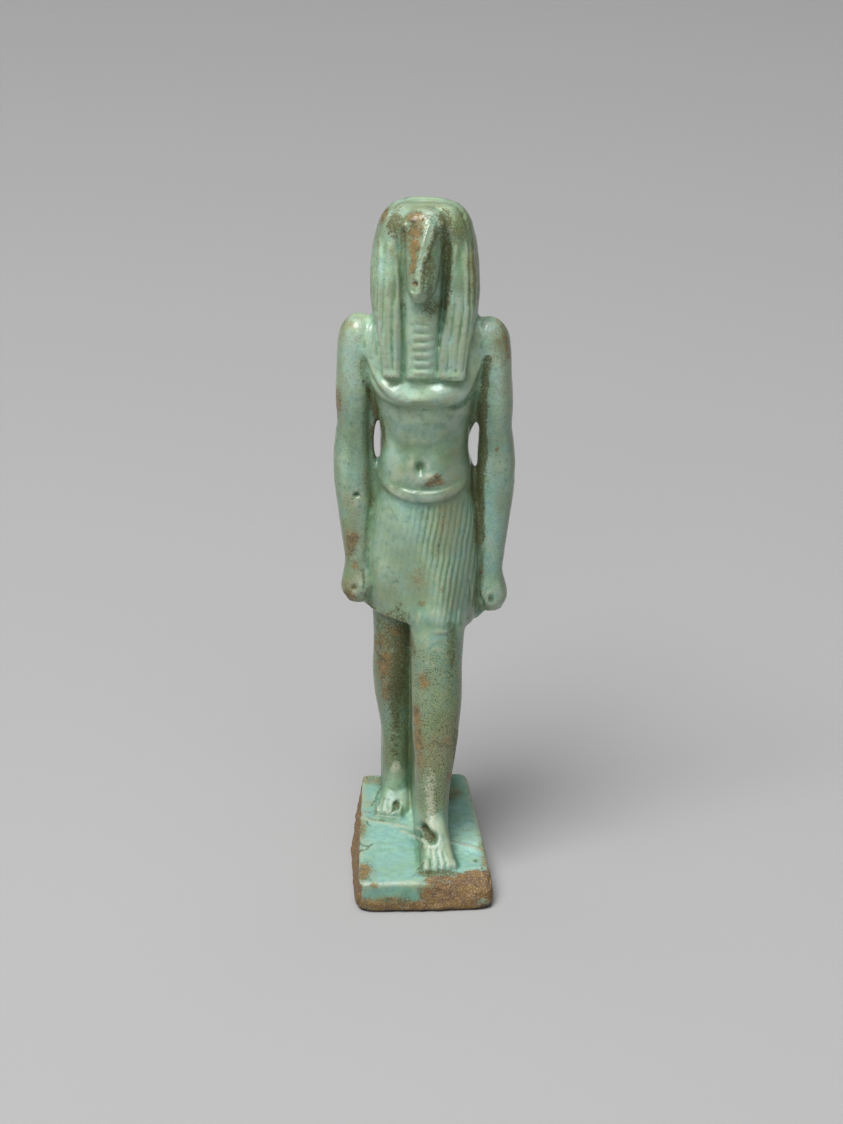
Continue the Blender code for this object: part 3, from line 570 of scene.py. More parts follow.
def foot_form(rows):
    """Foot: upright half rings from the heel to the toes, flat at the sole."""
    table = fine_rows(rows, *SAMPLING["foot"])
    c, s = ring_curve(*CURVES["foot"])
    grid = np.empty((len(table), len(c), 3))
    grid[:, :, 0] = table[:, 1:2] + table[:, 2:3] * c
    grid[:, :, 1] = table[:, 0:1]
    grid[:, :, 2] = np.maximum(table[:, 3:4] * s, -0.5)
    return shell(placed(grid))


def toe_forms(place):
    """Five toes side by side, each an ellipsoid a little shorter than the last, with a raised nail."""
    middle, root, half, tip, slant, side = place
    edge = middle + side * half
    forms = []
    for index, share in enumerate(TOE_SHARES):
        width = share * 2 * half
        length = (root - tip) * (1 - 0.09 * index)
        centre = (edge - side * width / 2 - slant * length / 2, root - length / 2, 0.2)
        height = 0.92 - 0.08 * index
        radii = (width * 0.56, length * 0.58, height)
        forms.append(shell(placed(ball_rings(centre, radii, TOE_RINGS))))
        edge -= side * width
    return forms


def leg_forms():
    """Striding legs, feet and toes, the knee, and the web behind the front leg."""
    forms = [
        shell(placed(smooth_rings(REAR_LEG, "leg"))),
        shell(placed(smooth_rings(FRONT_LEG, "leg"))),
        foot_form(FRONT_FOOT),
        foot_form(REAR_FOOT),
        shell(placed(ball_rings(*KNEE))),
    ]
    forms += toe_forms(FRONT_TOES) + toe_forms(REAR_TOES)
    levels = np.arange(-0.4, 25.0, 0.3)
    front = np.interp(levels, *np.transpose(LEG_WEB))
    back = BACK_REACH + LEG_WEB_OVERLAP
    left = np.full(len(levels), LEG_WEB_LEFT)
    middle = (front + back) / 2
    half = (back - front)[:, None] / 2
    forms.append(shell(placed(wall_rings(left, left + LEG_WEB_WIDTH, middle, levels, half))))
    return forms


def pillar_form():
    """Back pillar: a square column with softened corners, drilled from side to side."""
    c, s = ring_curve(*CURVES["pillar"])
    depth = PILLAR_DEPTH + PILLAR_INSET
    rings = []
    for height, inset in PILLAR_RINGS:
        x = BASE_SHIFT + (PILLAR_WIDTH / 2 - inset) * c
        y = PILLAR_BACK - depth / 2 + (depth / 2 - inset) * s
        rings.append(np.stack((x, y, np.full(len(c), height + BASE_HEIGHT)), axis=1))
    points, triangles = shell(np.array(rings))
    pillar = new_object("pillar", points, triangles)
    turn = np.arange(HOLE_SIDES) * 2 * math.pi / HOLE_SIDES
    hole = []
    for x in (-PILLAR_WIDTH, PILLAR_WIDTH):
        y = PILLAR_BACK - HOLE_WALL - HOLE_DIAMETER / 2 + HOLE_DIAMETER / 2 * np.cos(turn)
        z = BASE_HEIGHT + HOLE_LEVEL + HOLE_DIAMETER / 2 * np.sin(turn)
        hole.append(np.stack((np.full(HOLE_SIDES, BASE_SHIFT + x), y, z), axis=1))
    drill = new_object("drill", *shell(np.array(hole)))
    cut = pillar.modifiers.new("hole", "BOOLEAN")
    cut.operation = "DIFFERENCE"
    cut.solver = "EXACT"
    cut.object = drill
    drilled = read_mesh(applied(pillar))
    remove(pillar, drill)
    return drilled


def base_form():
    """Base: rounded rectangle, wider in front, with softened edges, and bows low on the front and left."""
    c, s = ring_curve(*CURVES["base"])
    side = [(level, 0.0, level / BASE_HEIGHT) for level in np.linspace(*BASE_SIDE)]
    rings = []
    for level, inset, share in (*BASE_FOOT, *side, *BASE_TOP):
        grow = BASE_BATTER * (1 - share) - inset
        y = (BASE_HALF - inset) * s - BASE_FRONT_BOW * (1 - c ** 6) * (1 - share) * (s < 0)
        half = BASE_FRONT_WIDTH / 2 + (BASE_BACK_WIDTH - BASE_FRONT_WIDTH) / 2 * (s + 1) / 2
        bow = BASE_LEFT_BOW * (1 - s * s) * (1 - share) * (c < 0)
        x = BASE_SHIFT + (half + grow + bow) * c
        rings.append(np.stack((x, y, np.full(len(c), level)), axis=1))
    return shell(np.array(rings))


def new_object(name, points, faces):
    """Mesh object from points in millimetres."""
    mesh = bpy.data.meshes.new(name)
    mesh.from_pydata((points * MM).tolist(), [], faces.tolist())
    thing = bpy.data.objects.new(name, mesh)
    bpy.context.scene.collection.objects.link(thing)
    return thing


def applied(thing):
    """New mesh with the object's modifiers applied."""
    graph = bpy.context.evaluated_depsgraph_get()
    return bpy.data.meshes.new_from_object(thing.evaluated_get(graph))


def read_mesh(mesh):
    """Points in millimetres and triangles of a mesh, which is then removed."""
    points = np.empty(len(mesh.vertices) * 3)
    mesh.vertices.foreach_get("co", points)
    mesh.calc_loop_triangles()
    faces = np.empty(len(mesh.loop_triangles) * 3, dtype=np.int32)
    mesh.loop_triangles.foreach_get("vertices", faces)
    bpy.data.meshes.remove(mesh)
    return points.reshape(-1, 3) / MM, faces.reshape(-1, 3)


def remove(*things):
    """Remove scratch objects and their meshes."""
    for thing in things:
        mesh = thing.data
        bpy.data.objects.remove(thing, do_unlink=True)
        bpy.data.meshes.remove(mesh)


def joined(forms):
    """One set of points and triangles from many."""
    starts = np.cumsum([0] + [len(points) for points, _ in forms[:-1]])
    points = np.concatenate([points for points, _ in forms])
    faces = np.concatenate([faces + start for (_, faces), start in zip(forms, starts)])
    return points, faces


def edges_of(faces):
    """Each edge of the triangles once, as two rows of point numbers."""
    pairs = np.concatenate((faces[:, (0, 1)], faces[:, (1, 2)], faces[:, (2, 0)]))
    pairs.sort(axis=1)
    size = int(pairs.max()) + 1
    keys = np.unique(pairs[:, 0].astype(np.int64) * size + pairs[:, 1])
    return keys // size, keys % size


def averaged(values, edges, rounds):
    """Move every value half way to the mean of its neighbours, several times."""
    first, second = edges
    size = len(values)
    count = np.bincount(first, minlength=size) + np.bincount(second, minlength=size)
    count = np.maximum(count, 1)
    flat = values.reshape(size, -1).copy()
    for _ in range(rounds):
        for column in range(flat.shape[1]):
            line = flat[:, column]
            total = np.bincount(first, line[second], size) + np.bincount(second, line[first], size)
            flat[:, column] = line + (total / count - line) / 2
    return flat.reshape(values.shape)


def normals_of(points, faces):
    """Point normals: the sum of the cross products of the triangles round each point, made unit."""
    a, b, c = (points[faces[:, corner]] for corner in range(3))
    face_normals = np.cross(b - a, c - a)
    normals = np.zeros_like(points)
    for axis in range(3):
        for corner in range(3):
            normals[:, axis] += np.bincount(faces[:, corner], face_normals[:, axis], len(points))
    return normals / np.maximum(np.linalg.norm(normals, axis=1, keepdims=True), 1e-12)


def lattice(cells, seed):
    """Repeatable value between 0 and 1 for each whole-numbered cell, by integer hashing."""
    mix = cells[:, 0] * 374761393 + cells[:, 1] * 668265263 + cells[:, 2] * 2147483647 + seed * 144665
    mix = (mix ^ (mix >> 13)) * 1274126177 & 0xFFFFFFFF
    return ((mix ^ (mix >> 16)) & 0xFFFFFF) / float(0xFFFFFF)


def cloud(points, name):
    """Smooth noise from 0 to 1: lattice values blended in three directions, in halving octaves."""
    size, seed, octaves = CLOUDS[name]
    total = np.zeros(len(points))
    weight = 1.0
    sum_weights = 0.0
    for octave in range(octaves):
        local = points / size * 2 ** octave + seed * 7.31
        cell = np.floor(local).astype(np.int64)
        part = local - cell
        part = part * part * (3 - 2 * part)
        value = np.zeros(len(points))
        for corner in range(8):
            step = np.array((corner & 1, corner >> 1 & 1, corner >> 2 & 1))
            share = np.where(step == 1, part, 1 - part).prod(axis=1)
            value += share * lattice(cell + step, seed + octave)
        total += weight * value
        sum_weights += weight
        weight *= 0.5
    return total / sum_weights


# Front view: the camera looks down at the middle of the figure; places in its picture are in pixels
PICTURE = (843.0, 1124.0)
PIXELS_A_MM = 10.0
VIEW_DISTANCE = 430.0
VIEW_ELEVATION = 23.5
VIEW_AZIMUTH = -2.7
VIEW_TARGET = (-0.55, 1.25, 32.0)
SENSOR_HEIGHT = 36.0
NEAR_CLIP = 0.01

# Lights: place and edge length in millimetres; and the reach of the floor
KEY_PLACE = (-243.0, -204.0, 712.0)
KEY_SIZE = 450.0
FRONT_PLACE = (-110.0, -560.0, 400.0)
FRONT_SIZE = 220.0
OVER_PLACE = (0.0, -247.0, 793.0)
OVER_SIZE = 700.0
FLOOR_REACH = 3000.0
FLOOR_ROUGHNESS = 0.9
STUDIO_TONE = (0.05, 0.05, 0.05, 1.0)


def view_axes():
    """Unit vectors of the front view: from the figure to the eye, to the right, and up the picture."""
    azimuth = math.radians(VIEW_AZIMUTH)
    elevation = math.radians(VIEW_ELEVATION)
    back = np.array((math.sin(azimuth) * math.cos(elevation), -math.cos(azimuth) * math.cos(elevation),
                     math.sin(elevation)))
    right = np.array((math.cos(azimuth), math.sin(azimuth), 0.0))
    return back, right, np.cross(back, right)


def seen(points):
    """Place of each point in the front view's picture, by perspective, across and down."""
    back, right, up = view_axes()
    offset = points - np.array(VIEW_TARGET)
    depth = VIEW_DISTANCE - offset @ back
    scale = PIXELS_A_MM * VIEW_DISTANCE / depth
    return PICTURE[0] / 2 + scale * (offset @ right), PICTURE[1] / 2 - scale * (offset @ up)


class Surface:
    """Points, triangles, normals and picture places of the amulet, worked out once for a set of points."""

    def __init__(self, points, faces, edges=None):
        self.points = points
        self.faces = faces
        self.edges = edges or edges_of(faces)
        self.normals = normals_of(points, faces)
        self.u, self.v = seen(points)
        self.front = smooth_step(self.normals @ view_axes()[0] / 0.25 + 0.3)
        self.figure = unturned(points - np.array((0.0, AXIS_Y, BASE_HEIGHT)))
        self.fine = cloud(points, "fine") - 0.5
        self.coarse = cloud(points, "coarse") - 0.5
        self.pleat = pleat_place(self.figure) + 0.25 * self.coarse

    def spot(self, place, wobble, softness):
        """Patch seen from the front: a tilted ellipse about a picture place; noise makes its edge ragged."""
        u, v, across, down, tilt, strength = place
        c = math.cos(math.radians(tilt))
        s = math.sin(math.radians(tilt))
        du = self.u - u
        dv = self.v - v
        distance = np.hypot((du * c + dv * s) / across, (dv * c - du * s) / down)
        noise = self.fine + self.coarse
        return strength * smooth_step((1 + softness / 2 - distance + wobble * noise) / softness)

    def spots(self, places, wobble=0.6, softness=0.9):
        """Strongest of several patches at each point, on the side seen from the front."""
        total = np.zeros(len(self.points))
        for place in places:
            total = np.maximum(total, self.spot(place, wobble, softness))
        return total * self.front

    def line(self, places, width, wobble=0.0):
        """Line seen from the front: a bell across the distance to a chain of picture places."""
        u = self.u + wobble * self.coarse
        v = self.v + wobble * self.fine
        nearest = np.full(len(u), np.inf)
        for (u0, v0), (u1, v1) in zip(places, places[1:]):
            du = u1 - u0
            dv = v1 - v0
            share = np.clip(((u - u0) * du + (v - v0) * dv) / (du * du + dv * dv), 0.0, 1.0)
            nearest = np.minimum(nearest, np.hypot(u - u0 - share * du, v - v0 - share * dv))
        return bell(nearest, 0.0, width) * self.front

    def hollow(self, rounds):
        """Depth of each point below its smoothed surroundings: positive in hollows, negative on ridges."""
        away = averaged(self.points, self.edges, rounds) - self.points
        return (away * self.normals).sum(axis=1)


# Soft relief seen from the front: across, down, half widths, tilt, and height in millimetres
SWELLS = (
    (391, 390, 13, 6, 14, 0.2), (453, 391, 18, 7, -6, 0.32), (416, 392, 10, 6, 0, -0.14),
    (391, 458, 8, 16, -10, 0.14), (452, 456, 11, 12, 20, 0.08), (421, 424, 26, 12, 0, 0.1),
    (420, 468.5, 4.6, 5.4, 0, -0.55), (428, 479, 10, 4, -22, 0.2), (411, 462, 4, 9, 0, 0.06),
    (425, 616, 16, 9, 0, 0.08), (357, 495, 2.8, 2.4, 0, -0.4), (354, 588, 3, 3, 0, -0.3),
    (491, 599, 3.4, 4, 0, -0.3), (481, 330, 6, 14, 24, 0.14), (358, 330, 9, 9, 0, 0.14),
    (415, 284, 2.2, 2.6, 0, -0.35), (418, 297, 6, 4, 0, 0.08), (430, 216, 6, 6, 0, 0.12),
    (441, 206, 6, 3, 0, 0.12), (403, 205, 8, 3, -20, 0.1), (412, 216, 5, 8, 0, 0.06),
    (397, 772, 6, 7, 0, 0.08), (431, 800, 4, 26, 0, 0.12), (363, 778, 4, 10, 0, 0.1),
    (436, 238, 4, 6, 20, 0.1), (430, 254, 3, 6, 20, 0.08),
)

# Carved lines seen from the front: half width in pixels, depth in millimetres (raised if negative)
CARVED = (
    (2.4, 0.16, ((366, 360), (371, 377), (378, 389), (387, 399), (397, 405), (410, 406), (420, 404.5),
     (434, 404), (448, 407), (458, 407), (467, 401), (475, 388), (481, 372), (485, 360))),
    (3.2, -0.16, ((364, 350), (370, 364), (377, 377), (386, 388), (396, 396))),
    (2.6, -0.12, ((484, 348), (480, 365), (472, 381), (462, 396))),
    (5.5, 0.11, ((386, 420), (389, 432), (396, 442), (410, 449), (430, 449), (446, 443), (460, 430),
     (466, 418))),
    (2.0, 0.15, ((384, 212), (392, 204.5), (404, 201), (424, 199.8), (446, 200.8), (458, 206),
     (465, 216))),
    (1.5, 0.1, ((388, 206), (403, 198.6), (427, 196.8), (449, 199.4), (461, 206))),
    (1.8, 0.14, ((378, 226), (376, 240), (375, 262), (374, 290), (374, 312))),
    (1.8, 0.16, ((464, 214), (469, 232), (470.5, 256), (470.5, 284), (469.5, 306))),
    (1.6, -0.14, ((429, 226), (425, 238), (421, 252), (417, 266), (414.8, 279))),
    (1.3, 0.09, ((438, 234), (436, 244), (431, 251), (429.5, 259), (426, 264), (424.5, 273),
     (421, 284))),
    (2.2, -0.12, ((389, 245), (387.5, 268), (387.5, 292))), (1.6, -0.12, ((395.5, 325), (396.5, 368))),
    (2.0, -0.14, ((458, 325), (456.5, 368))), (1.8, -0.1, ((381, 325), (386, 366))),
    (1.6, -0.1, ((449, 320), (450, 366))), (1.6, -0.1, ((379.5, 240), (378, 300))),
    (2.4, 0.07, ((430, 650), (433, 646), (438, 644.5), (444, 646), (449, 651))),
    (1.3, 0.12, ((470, 580), (471.5, 600), (468, 618))),
    (1.4, 0.14, ((363.5, 570), (365, 578), (364.5, 588))),
    (1.5, 0.1, ((478, 590), (484, 608), (486, 614))),
    (1.1, 0.12, ((430, 850), (430.5, 858), (431.5, 866))),
    (1.0, 0.12, ((437, 850), (438.5, 858), (440, 865))),
    (1.0, 0.12, ((443, 852), (445, 860), (446.5, 864))),
    (0.9, 0.1, ((383, 798), (381, 805), (381, 811))), (0.9, 0.1, ((389, 799), (388, 806), (388, 812))),
    (0.9, 0.1, ((377, 798), (375.5, 804), (375, 808))),
)

# Collar rows: first row, pitch and count down the picture, and the edges left and right, in pixels
COLLAR = (319.9, 8.83, 6, 411.5, 437.0)
COLLAR_RELIEF = 0.17

# Pleats: pitch, lean for each millimetre of height, and the level where the lean starts
PLEATS = (0.58, 0.2, 35.0)
PHASE_SPAN = 64.0

# Patches seen from the front: across, down, half widths, tilt and strength, by picture place
# Dirt and painted shade: dirt patches, and shade painted under the chin, beside the face, in the hole by the
# front foot and under the lappets' ends
DIRT_AND_SHADE = (
    (376, 410, 3, 18, -12, 0.7), (383, 428, 2, 15, -8, 0.8), (375, 480, 4, 14, 10, 0.5),
    (483, 402, 4, 30, 2, 0.6), (480, 470, 4, 22, 0, 0.7), (478, 525, 4, 40, -3, 0.6),
    (398, 684, 9, 72, 0, 0.9), (402, 640, 12, 26, 0, 0.9), (447, 262, 5, 30, 0, 0.7),
    (403, 236, 3.4, 18, 0, 0.6), (402.5, 290, 3, 50, 0, 0.45), (395.5, 221, 7, 15, 14, 0.95),
    (426, 266, 4.6, 28, 12, 0.9), (430, 221, 8, 8, 0, 0.4), (358, 497, 6, 6, 0, 0.4),
    (346, 594, 6, 7, 0, 0.6), (366, 606, 6, 4, 0, 0.6), (383, 626, 10, 12, 0, 0.6),
    (446.5, 221, 8, 13, -14, 0.95), (459, 228, 12, 15, 20, 0.45), (430, 307, 9, 9, 0, 0.6),
    (440, 232, 7, 12, 8, 0.75), (455, 232, 5, 14, 0, 0.55), (430, 280, 4.5, 28, 4, 0.6),
    (376, 418, 4, 18, 0, 0.9), (346, 597, 6, 9, 0, 0.6), (366, 606, 9, 4, 20, 0.8),
    (388, 634, 14, 24, 0, 0.6), (451, 640, 5, 20, 0, 0.6), (456, 745, 3, 24, 0, 0.7),
    (437, 874, 22, 4.5, -3, 0.9), (374, 445, 3, 34, 0, 0.5), (364, 590, 4, 16, 0, 0.4),
    (432, 276, 7, 26, 10, 0.35), (384, 616, 14, 4, 10, 0.5), (350, 604, 8, 3, 16, 0.5),
    (374, 262, 3, 40, 0, 0.2), (472, 262, 4, 50, 0, 0.3), (389, 377, 8, 1.6, 0, 0.5),
    (447, 378, 16, 1.6, 0, 0.4), (452.5, 662, 2.4, 9, 8, 0.9), (446, 649, 4, 3, 0, 0.3),
    (429, 837, 8.2, 6.4, 22, 1.0), (425, 829.5, 4, 6.4, -28, 1.0), (397, 805, 3.2, 4.4, 12, 1.0),
    (393, 810, 1.8, 3, 30, 0.8), (357, 495, 2.4, 2.2, 0, 0.5), (491, 599, 3, 3, 0, 0.5),
    (354, 588, 2.5, 3, 0, 0.6), (363.5, 578, 2.2, 9, 0, 0.5), (481, 572, 2.4, 8, 0, 0.5),
    (412, 786, 2, 20, 0, 0.5), (420, 468, 4, 4.5, 0, 0.4), (441, 876, 18, 4, -3, 0.7),
    (361, 872, 5, 3, 0, 0.4), (467, 829, 2, 1.5, 0, 0.7), (476, 860, 3, 2, 0, 0.6),
    (371, 861, 4, 6, 0, 0.3), (374, 819.5, 4, 1.2, 8, 0.9), (382, 820.5, 5, 1.2, 8, 0.8),
    (422, 845, 1.6, 6, 15, 0.6), (420.5, 868, 4, 1.4, -30, 0.6), (410, 823, 2, 1, 0, 0.7),
    (484, 851, 3, 1.4, 0, 0.7), (394, 778, 8, 1.2, -15, 0.5), (353, 862, 1.5, 6, 0, 0.6),
)
# Dirt and painted shade in the grooves beside the arms, beside the face and by the legs: half width,
# strength, picture places
GROOVE_DIRT_AND_SHADE = (
    (2.0, 0.8, ((360, 358), (363, 374), (367, 388))),
    (3.2, 0.9, ((368, 390), (372, 402), (375.5, 412), (377, 428))),
    (2.6, 0.7, ((374, 459), (374, 472), (372.5, 488), (370, 505))),
    (1.5, 0.7, ((380, 422), (383, 437), (381, 454))), (1.2, 0.7, ((374.5, 424), (374, 440), (375, 456))),
    (3.8, 0.95, ((487, 360), (486, 376), (485, 392), (484, 408), (483, 424))),
    (3.6, 0.9, ((483, 424), (484.5, 440), (484.5, 455), (482, 468))),
    (1.2, 0.7, ((471, 428), (468.5, 440), (472, 456))),
    (5.0, 0.9, ((479, 462), (479.5, 490), (479.5, 516), (479, 540))),
    (3.6, 0.5, ((479, 540), (480, 565), (479, 592))), (2.0, 0.3, ((369, 505), (366, 530), (364.5, 556))),
    (4.6, 0.8, ((445, 228), (447, 255), (447, 275), (448, 292), (446, 305))),
    (3.0, 0.8, ((396, 624), (404, 628), (409, 636), (411, 644))),
)
# Painted shade along lines: shadows under the chin, the lappets' ends and the breast, shade on the face's
# and the legs' right sides and the belly, and pooled glaze in the wig's grooves
SHADE_AND_POOL_LINES = (
    (2.6, 0.95, ((402, 226), (401, 250), (400.5, 270), (401.5, 300), (403.5, 335), (404, 360),
     (403.5, 376))),
    (2.0, 1.0, ((385, 378.3), (403, 379.6), (425, 379.8), (445, 379.8), (465, 378))),
    (2.0, 0.9, ((470, 308), (469.5, 330), (468, 352), (466.5, 376))),
    (2.0, 0.6, ((372, 318), (374, 335), (377, 352))),
    (3.0, 0.7, ((372, 470), (370, 505), (366, 530), (364.5, 560))),
    (2.2, 0.6, ((382, 396), (393, 404.5), (407, 407), (420, 406), (436, 405.5), (456, 408), (466, 402))),
    (3.0, 0.5, ((375, 250), (374, 290), (375, 320))), (2.0, 0.5, ((384, 235), (384, 290), (386, 350))),
    (2.0, 0.5, ((393, 250), (393, 300), (393.5, 350))),
    (6.0, 0.5, ((391, 436), (401, 446), (421, 450), (455, 440))),
    (6.5, 1.0, ((422, 305), (432, 309), (442, 305))),
    (1.6, 0.6, ((394, 486), (405, 492), (420, 494.5), (440, 493), (456, 486))),
    (8.0, 0.5, ((441, 428), (448, 450), (446, 468))), (4.0, 0.6, ((414, 621), (440, 628), (462, 624))),
    (6.0, 1.0, ((436, 246), (431, 264), (429, 282), (430, 296))),
    (6.0, 0.8, ((457, 212), (460, 250), (458, 290))), (4.0, 0.9, ((470, 218), (474, 260), (475, 306))),
    (4.0, 0.6, ((378, 216), (375, 250), (374, 280))), (6.5, 1.0, ((455, 628), (453, 660), (454, 700))),
    (5.0, 0.9, ((456, 710), (454, 760), (451, 800))), (5.0, 0.5, ((488, 366), (489, 400), (490, 450))),
    (6.0, 0.4, ((350, 420), (352, 450), (352, 480))),
    (2.2, 0.5, ((380, 480), (392, 498), (412, 508), (440, 505))),
)
RUST = (
    (410, 245, 7, 30, -12, 0.5), (416, 218, 8.5, 8, 0, 1.0), (416, 231, 8, 10, 0, 1.0),
    (414, 248, 5.6, 13, 2, 1.0), (413.5, 264, 4, 11, 6, 1.0), (415, 284, 3, 3.5, 0, 1.0),
    (384, 214, 3.4, 11, 22, 0.9), (385, 665, 10, 36, 0, 0.5), (433, 206, 12, 3, 0, 0.35),
    (378, 240, 2, 8, 0, 0.4), (507, 345, 3, 22, -14, 0.8), (502, 322, 6, 4, 30, 0.4),
    (350, 323, 3, 3.5, 0, 0.6), (338, 402, 3.5, 13, 0, 0.85), (351, 546, 7, 15, 12, 0.9),
    (354.5, 564, 3, 5, 0, 0.75), (348, 597, 9, 5.5, 20, 0.9), (343, 583, 4, 7, 0, 0.5),
    (356, 599, 7, 3, 25, 0.5), (430, 484, 7, 5, -25, 0.9), (438, 480, 5.5, 5.5, -20, 1.0),
    (397, 488, 2.5, 1.8, 0, 0.7), (443, 520, 2.4, 22, 7, 0.5), (438, 548, 2, 10, 10, 0.45),
    (419, 577, 5, 10, 0, 0.45), (396, 583, 5, 5, 0, 0.35), (422, 604, 3.5, 3, 0, 0.7),
    (442, 590, 2, 2.5, 0, 0.7), (497, 449.5, 2, 2, 0, 0.8), (482, 572, 2.4, 5, 0, 0.6),
    (381, 644, 7, 12, 0, 0.8), (384, 664, 7, 18, 0, 1.0), (386, 692, 5, 10, 0, 0.8),
    (396, 630, 10, 7, 20, 0.7), (400, 648, 5, 8, 0, 0.5), (423, 683, 7, 9, 0, 0.95),
    (416, 716, 4.4, 12, 0, 1.0), (418, 738, 5, 18, 0, 0.95), (420, 760, 5, 12, 0, 0.7),
    (434, 744, 10, 6, 0, 0.6), (447, 742, 8, 6, -20, 0.6), (449, 776, 3, 6, 0, 0.8),
    (361, 828, 4.5, 8, 0, 0.7), (364, 872, 7, 9, 20, 1.0), (374, 886, 4, 3, 0, 0.8),
    (366, 812, 6, 1.6, 6, 0.5), (358, 800, 2, 14, 0, 0.4), (472, 800, 2, 8, 0, 0.3),
    (436, 884, 11, 4, 0, 1.0), (426, 894, 8, 9, 10, 0.9), (482, 847, 5, 5, 0, 0.6),
    (485, 862, 5, 14, 0, 0.6), (364, 903, 12, 5, 10, 0.9), (400, 904, 46, 6, 2, 0.9),
    (376, 412, 2.4, 3, 0, 0.7), (504, 330, 3, 12, -24, 0.6), (462, 238, 7, 4, 30, 0.4),
    (362, 775, 6, 1.6, 0, 0.4), (389, 614, 4, 2, 0, 0.5), (364, 480, 3, 8, 0, 0.4),
)
BLOOM = (
    (346, 590, 9, 12, 0, 1.0), (385, 596, 18, 16, 0, 0.5), (417, 585, 14, 18, 0, 0.55),
    (408, 560, 10, 26, 5, 0.3), (441, 530, 6, 32, 8, 0.55), (452, 596, 10, 22, 8, 0.35),
    (460, 540, 9, 36, 0, 0.3), (347, 505, 6, 14, 0, 0.5), (352, 530, 10, 18, 0, 0.75),
    (352, 578, 13, 20, 10, 0.75), (385, 616, 16, 6, 0, 0.5), (342, 400, 6, 30, 0, 0.5),
    (388, 655, 11, 46, 0, 0.9), (384, 720, 6, 22, 0, 0.3), (395, 750, 14, 22, 0, 0.5),
    (455, 752, 14, 12, 0, 0.7), (428, 752, 14, 26, 0, 0.75), (445, 705, 16, 34, 0, 0.5),
    (430, 690, 12, 30, 0, 0.55), (424, 655, 8, 16, 0, 0.35), (361, 830, 5, 16, 0, 0.6),
    (367, 872, 11, 9, 0, 0.6), (486, 850, 5, 20, 0, 0.7), (503, 345, 8, 26, -12, 0.7),
    (460, 228, 13, 20, 20, 0.8), (474, 262, 6, 45, 0, 0.85), (382, 224, 7, 18, 15, 0.55),
    (424, 205, 26, 5, 0, 0.5), (416, 222, 10, 14, 0, 0.8), (414, 246, 6, 20, 0, 0.8),
    (421, 405, 24, 4, 0, 0.5), (455, 456, 14, 12, 0, 0.6), (452, 505, 14, 60, 4, 0.5),
    (427, 705, 9, 30, 0, 0.6), (398, 236, 10, 26, 0, 0.6), (430, 250, 8, 24, 0, 0.5),
    (346, 322, 8, 6, 0, 0.5), (436, 345, 5, 30, 0, 0.35), (463, 286, 6, 14, 0, 0.4),
    (507, 385, 5, 30, 0, 0.5), (499, 500, 7, 16, 0, 0.4), (499, 440, 5, 20, 0, 0.3),
    (368, 482, 5, 20, 0, 0.5), (474, 600, 8, 16, 0, 0.35), (403, 222, 6, 14, 0, 0.5),
    (409, 690, 4, 60, 0, 0.6), (412, 795, 6, 26, 0, 0.6), (365, 790, 6, 30, 0, 0.25),
    (395, 865, 30, 10, 0, 0.12), (455, 790, 5, 12, 0, 0.5), (440, 250, 6, 14, 0, 0.2),
    (386, 816, 26, 5, 4, 0.35), (428, 880, 8, 5, 0, 0.5), (470, 835, 14, 8, 0, 0.15),
)
# Turquoise patches of the glaze; the one on the base beside the front foot also paints the green light
# reflected into the shadow there
TEAL = (
    (500, 470, 14, 90, 0, 0.5), (440, 350, 10, 60, 0, 0.4), (350, 350, 11, 16, 0, 0.6),
    (349, 385, 8, 30, 0, 0.5), (487, 345, 8, 18, 10, 0.6), (492, 400, 9, 50, 0, 0.7),
    (491, 530, 9, 70, 0, 1.0), (498, 598, 12, 14, 0, 0.8), (346, 512, 5, 5, 0, 0.7),
    (352, 470, 8, 18, 0, 0.3), (396, 395, 16, 8, 0, 0.4), (455, 396, 14, 8, 0, 0.5),
    (398, 250, 9, 22, 0, 0.5), (380, 265, 5, 26, 0, 0.4), (405, 505, 24, 6, 12, 0.6),
    (410, 525, 16, 18, 0, 0.4), (462, 560, 8, 46, 0, 0.3), (437, 620, 26, 14, 0, 0.5),
    (436, 640, 14, 12, 0, 0.6), (455, 690, 8, 36, 0, 0.5), (383, 720, 8, 24, 0, 0.5),
    (424, 705, 5, 12, 0, 0.4), (458, 265, 7, 14, 0, 0.3), (432, 268, 8, 24, 0, 0.6),
    (350, 575, 4, 8, 0, 0.3), (446, 800, 7, 26, 0, 0.5), (470, 845, 18, 40, -8, 0.35),
    (352, 350, 6, 12, 0, 0.7), (484, 350, 6, 14, 0, 0.7), (447, 396, 10, 6, 0, 0.7),
    (385, 455, 6, 14, 0, 0.4), (404, 427, 16, 8, 0, 0.4),
)
# Painted light: lighter patches standing for highlights and lit places, one of them lifting the shadow on
# the base beside the front foot
PAINTED_LIGHT = (
    (385, 300, 14, 80, 0, 1.0), (418, 230, 26, 8, 0, 0.5), (420, 387, 48, 8, 0, 1.0),
    (422, 416, 20, 7, 0, 0.7), (394, 345, 14, 34, 0, 0.8), (427, 350, 14, 26, 0, 0.9),
    (398, 778, 10, 10, 0, 0.8), (358, 335, 14, 14, 0, 1.0), (482, 335, 12, 18, 20, 1.0),
    (458, 330, 10, 50, 0, 0.5), (392, 455, 8, 22, -6, 0.5), (376, 560, 14, 44, 0, 0.35),
    (395, 520, 20, 20, 0, 0.3), (349, 465, 8, 14, 0, 0.4), (475, 350, 6, 38, 8, 1.0),
    (468, 838, 14, 14, 0, 0.8), (462, 388, 8, 12, 0, 1.0), (369, 374, 6, 24, -16, 0.9),
    (413, 812, 6, 12, 0, 0.7), (404, 790, 6, 16, 0, 0.6),
)
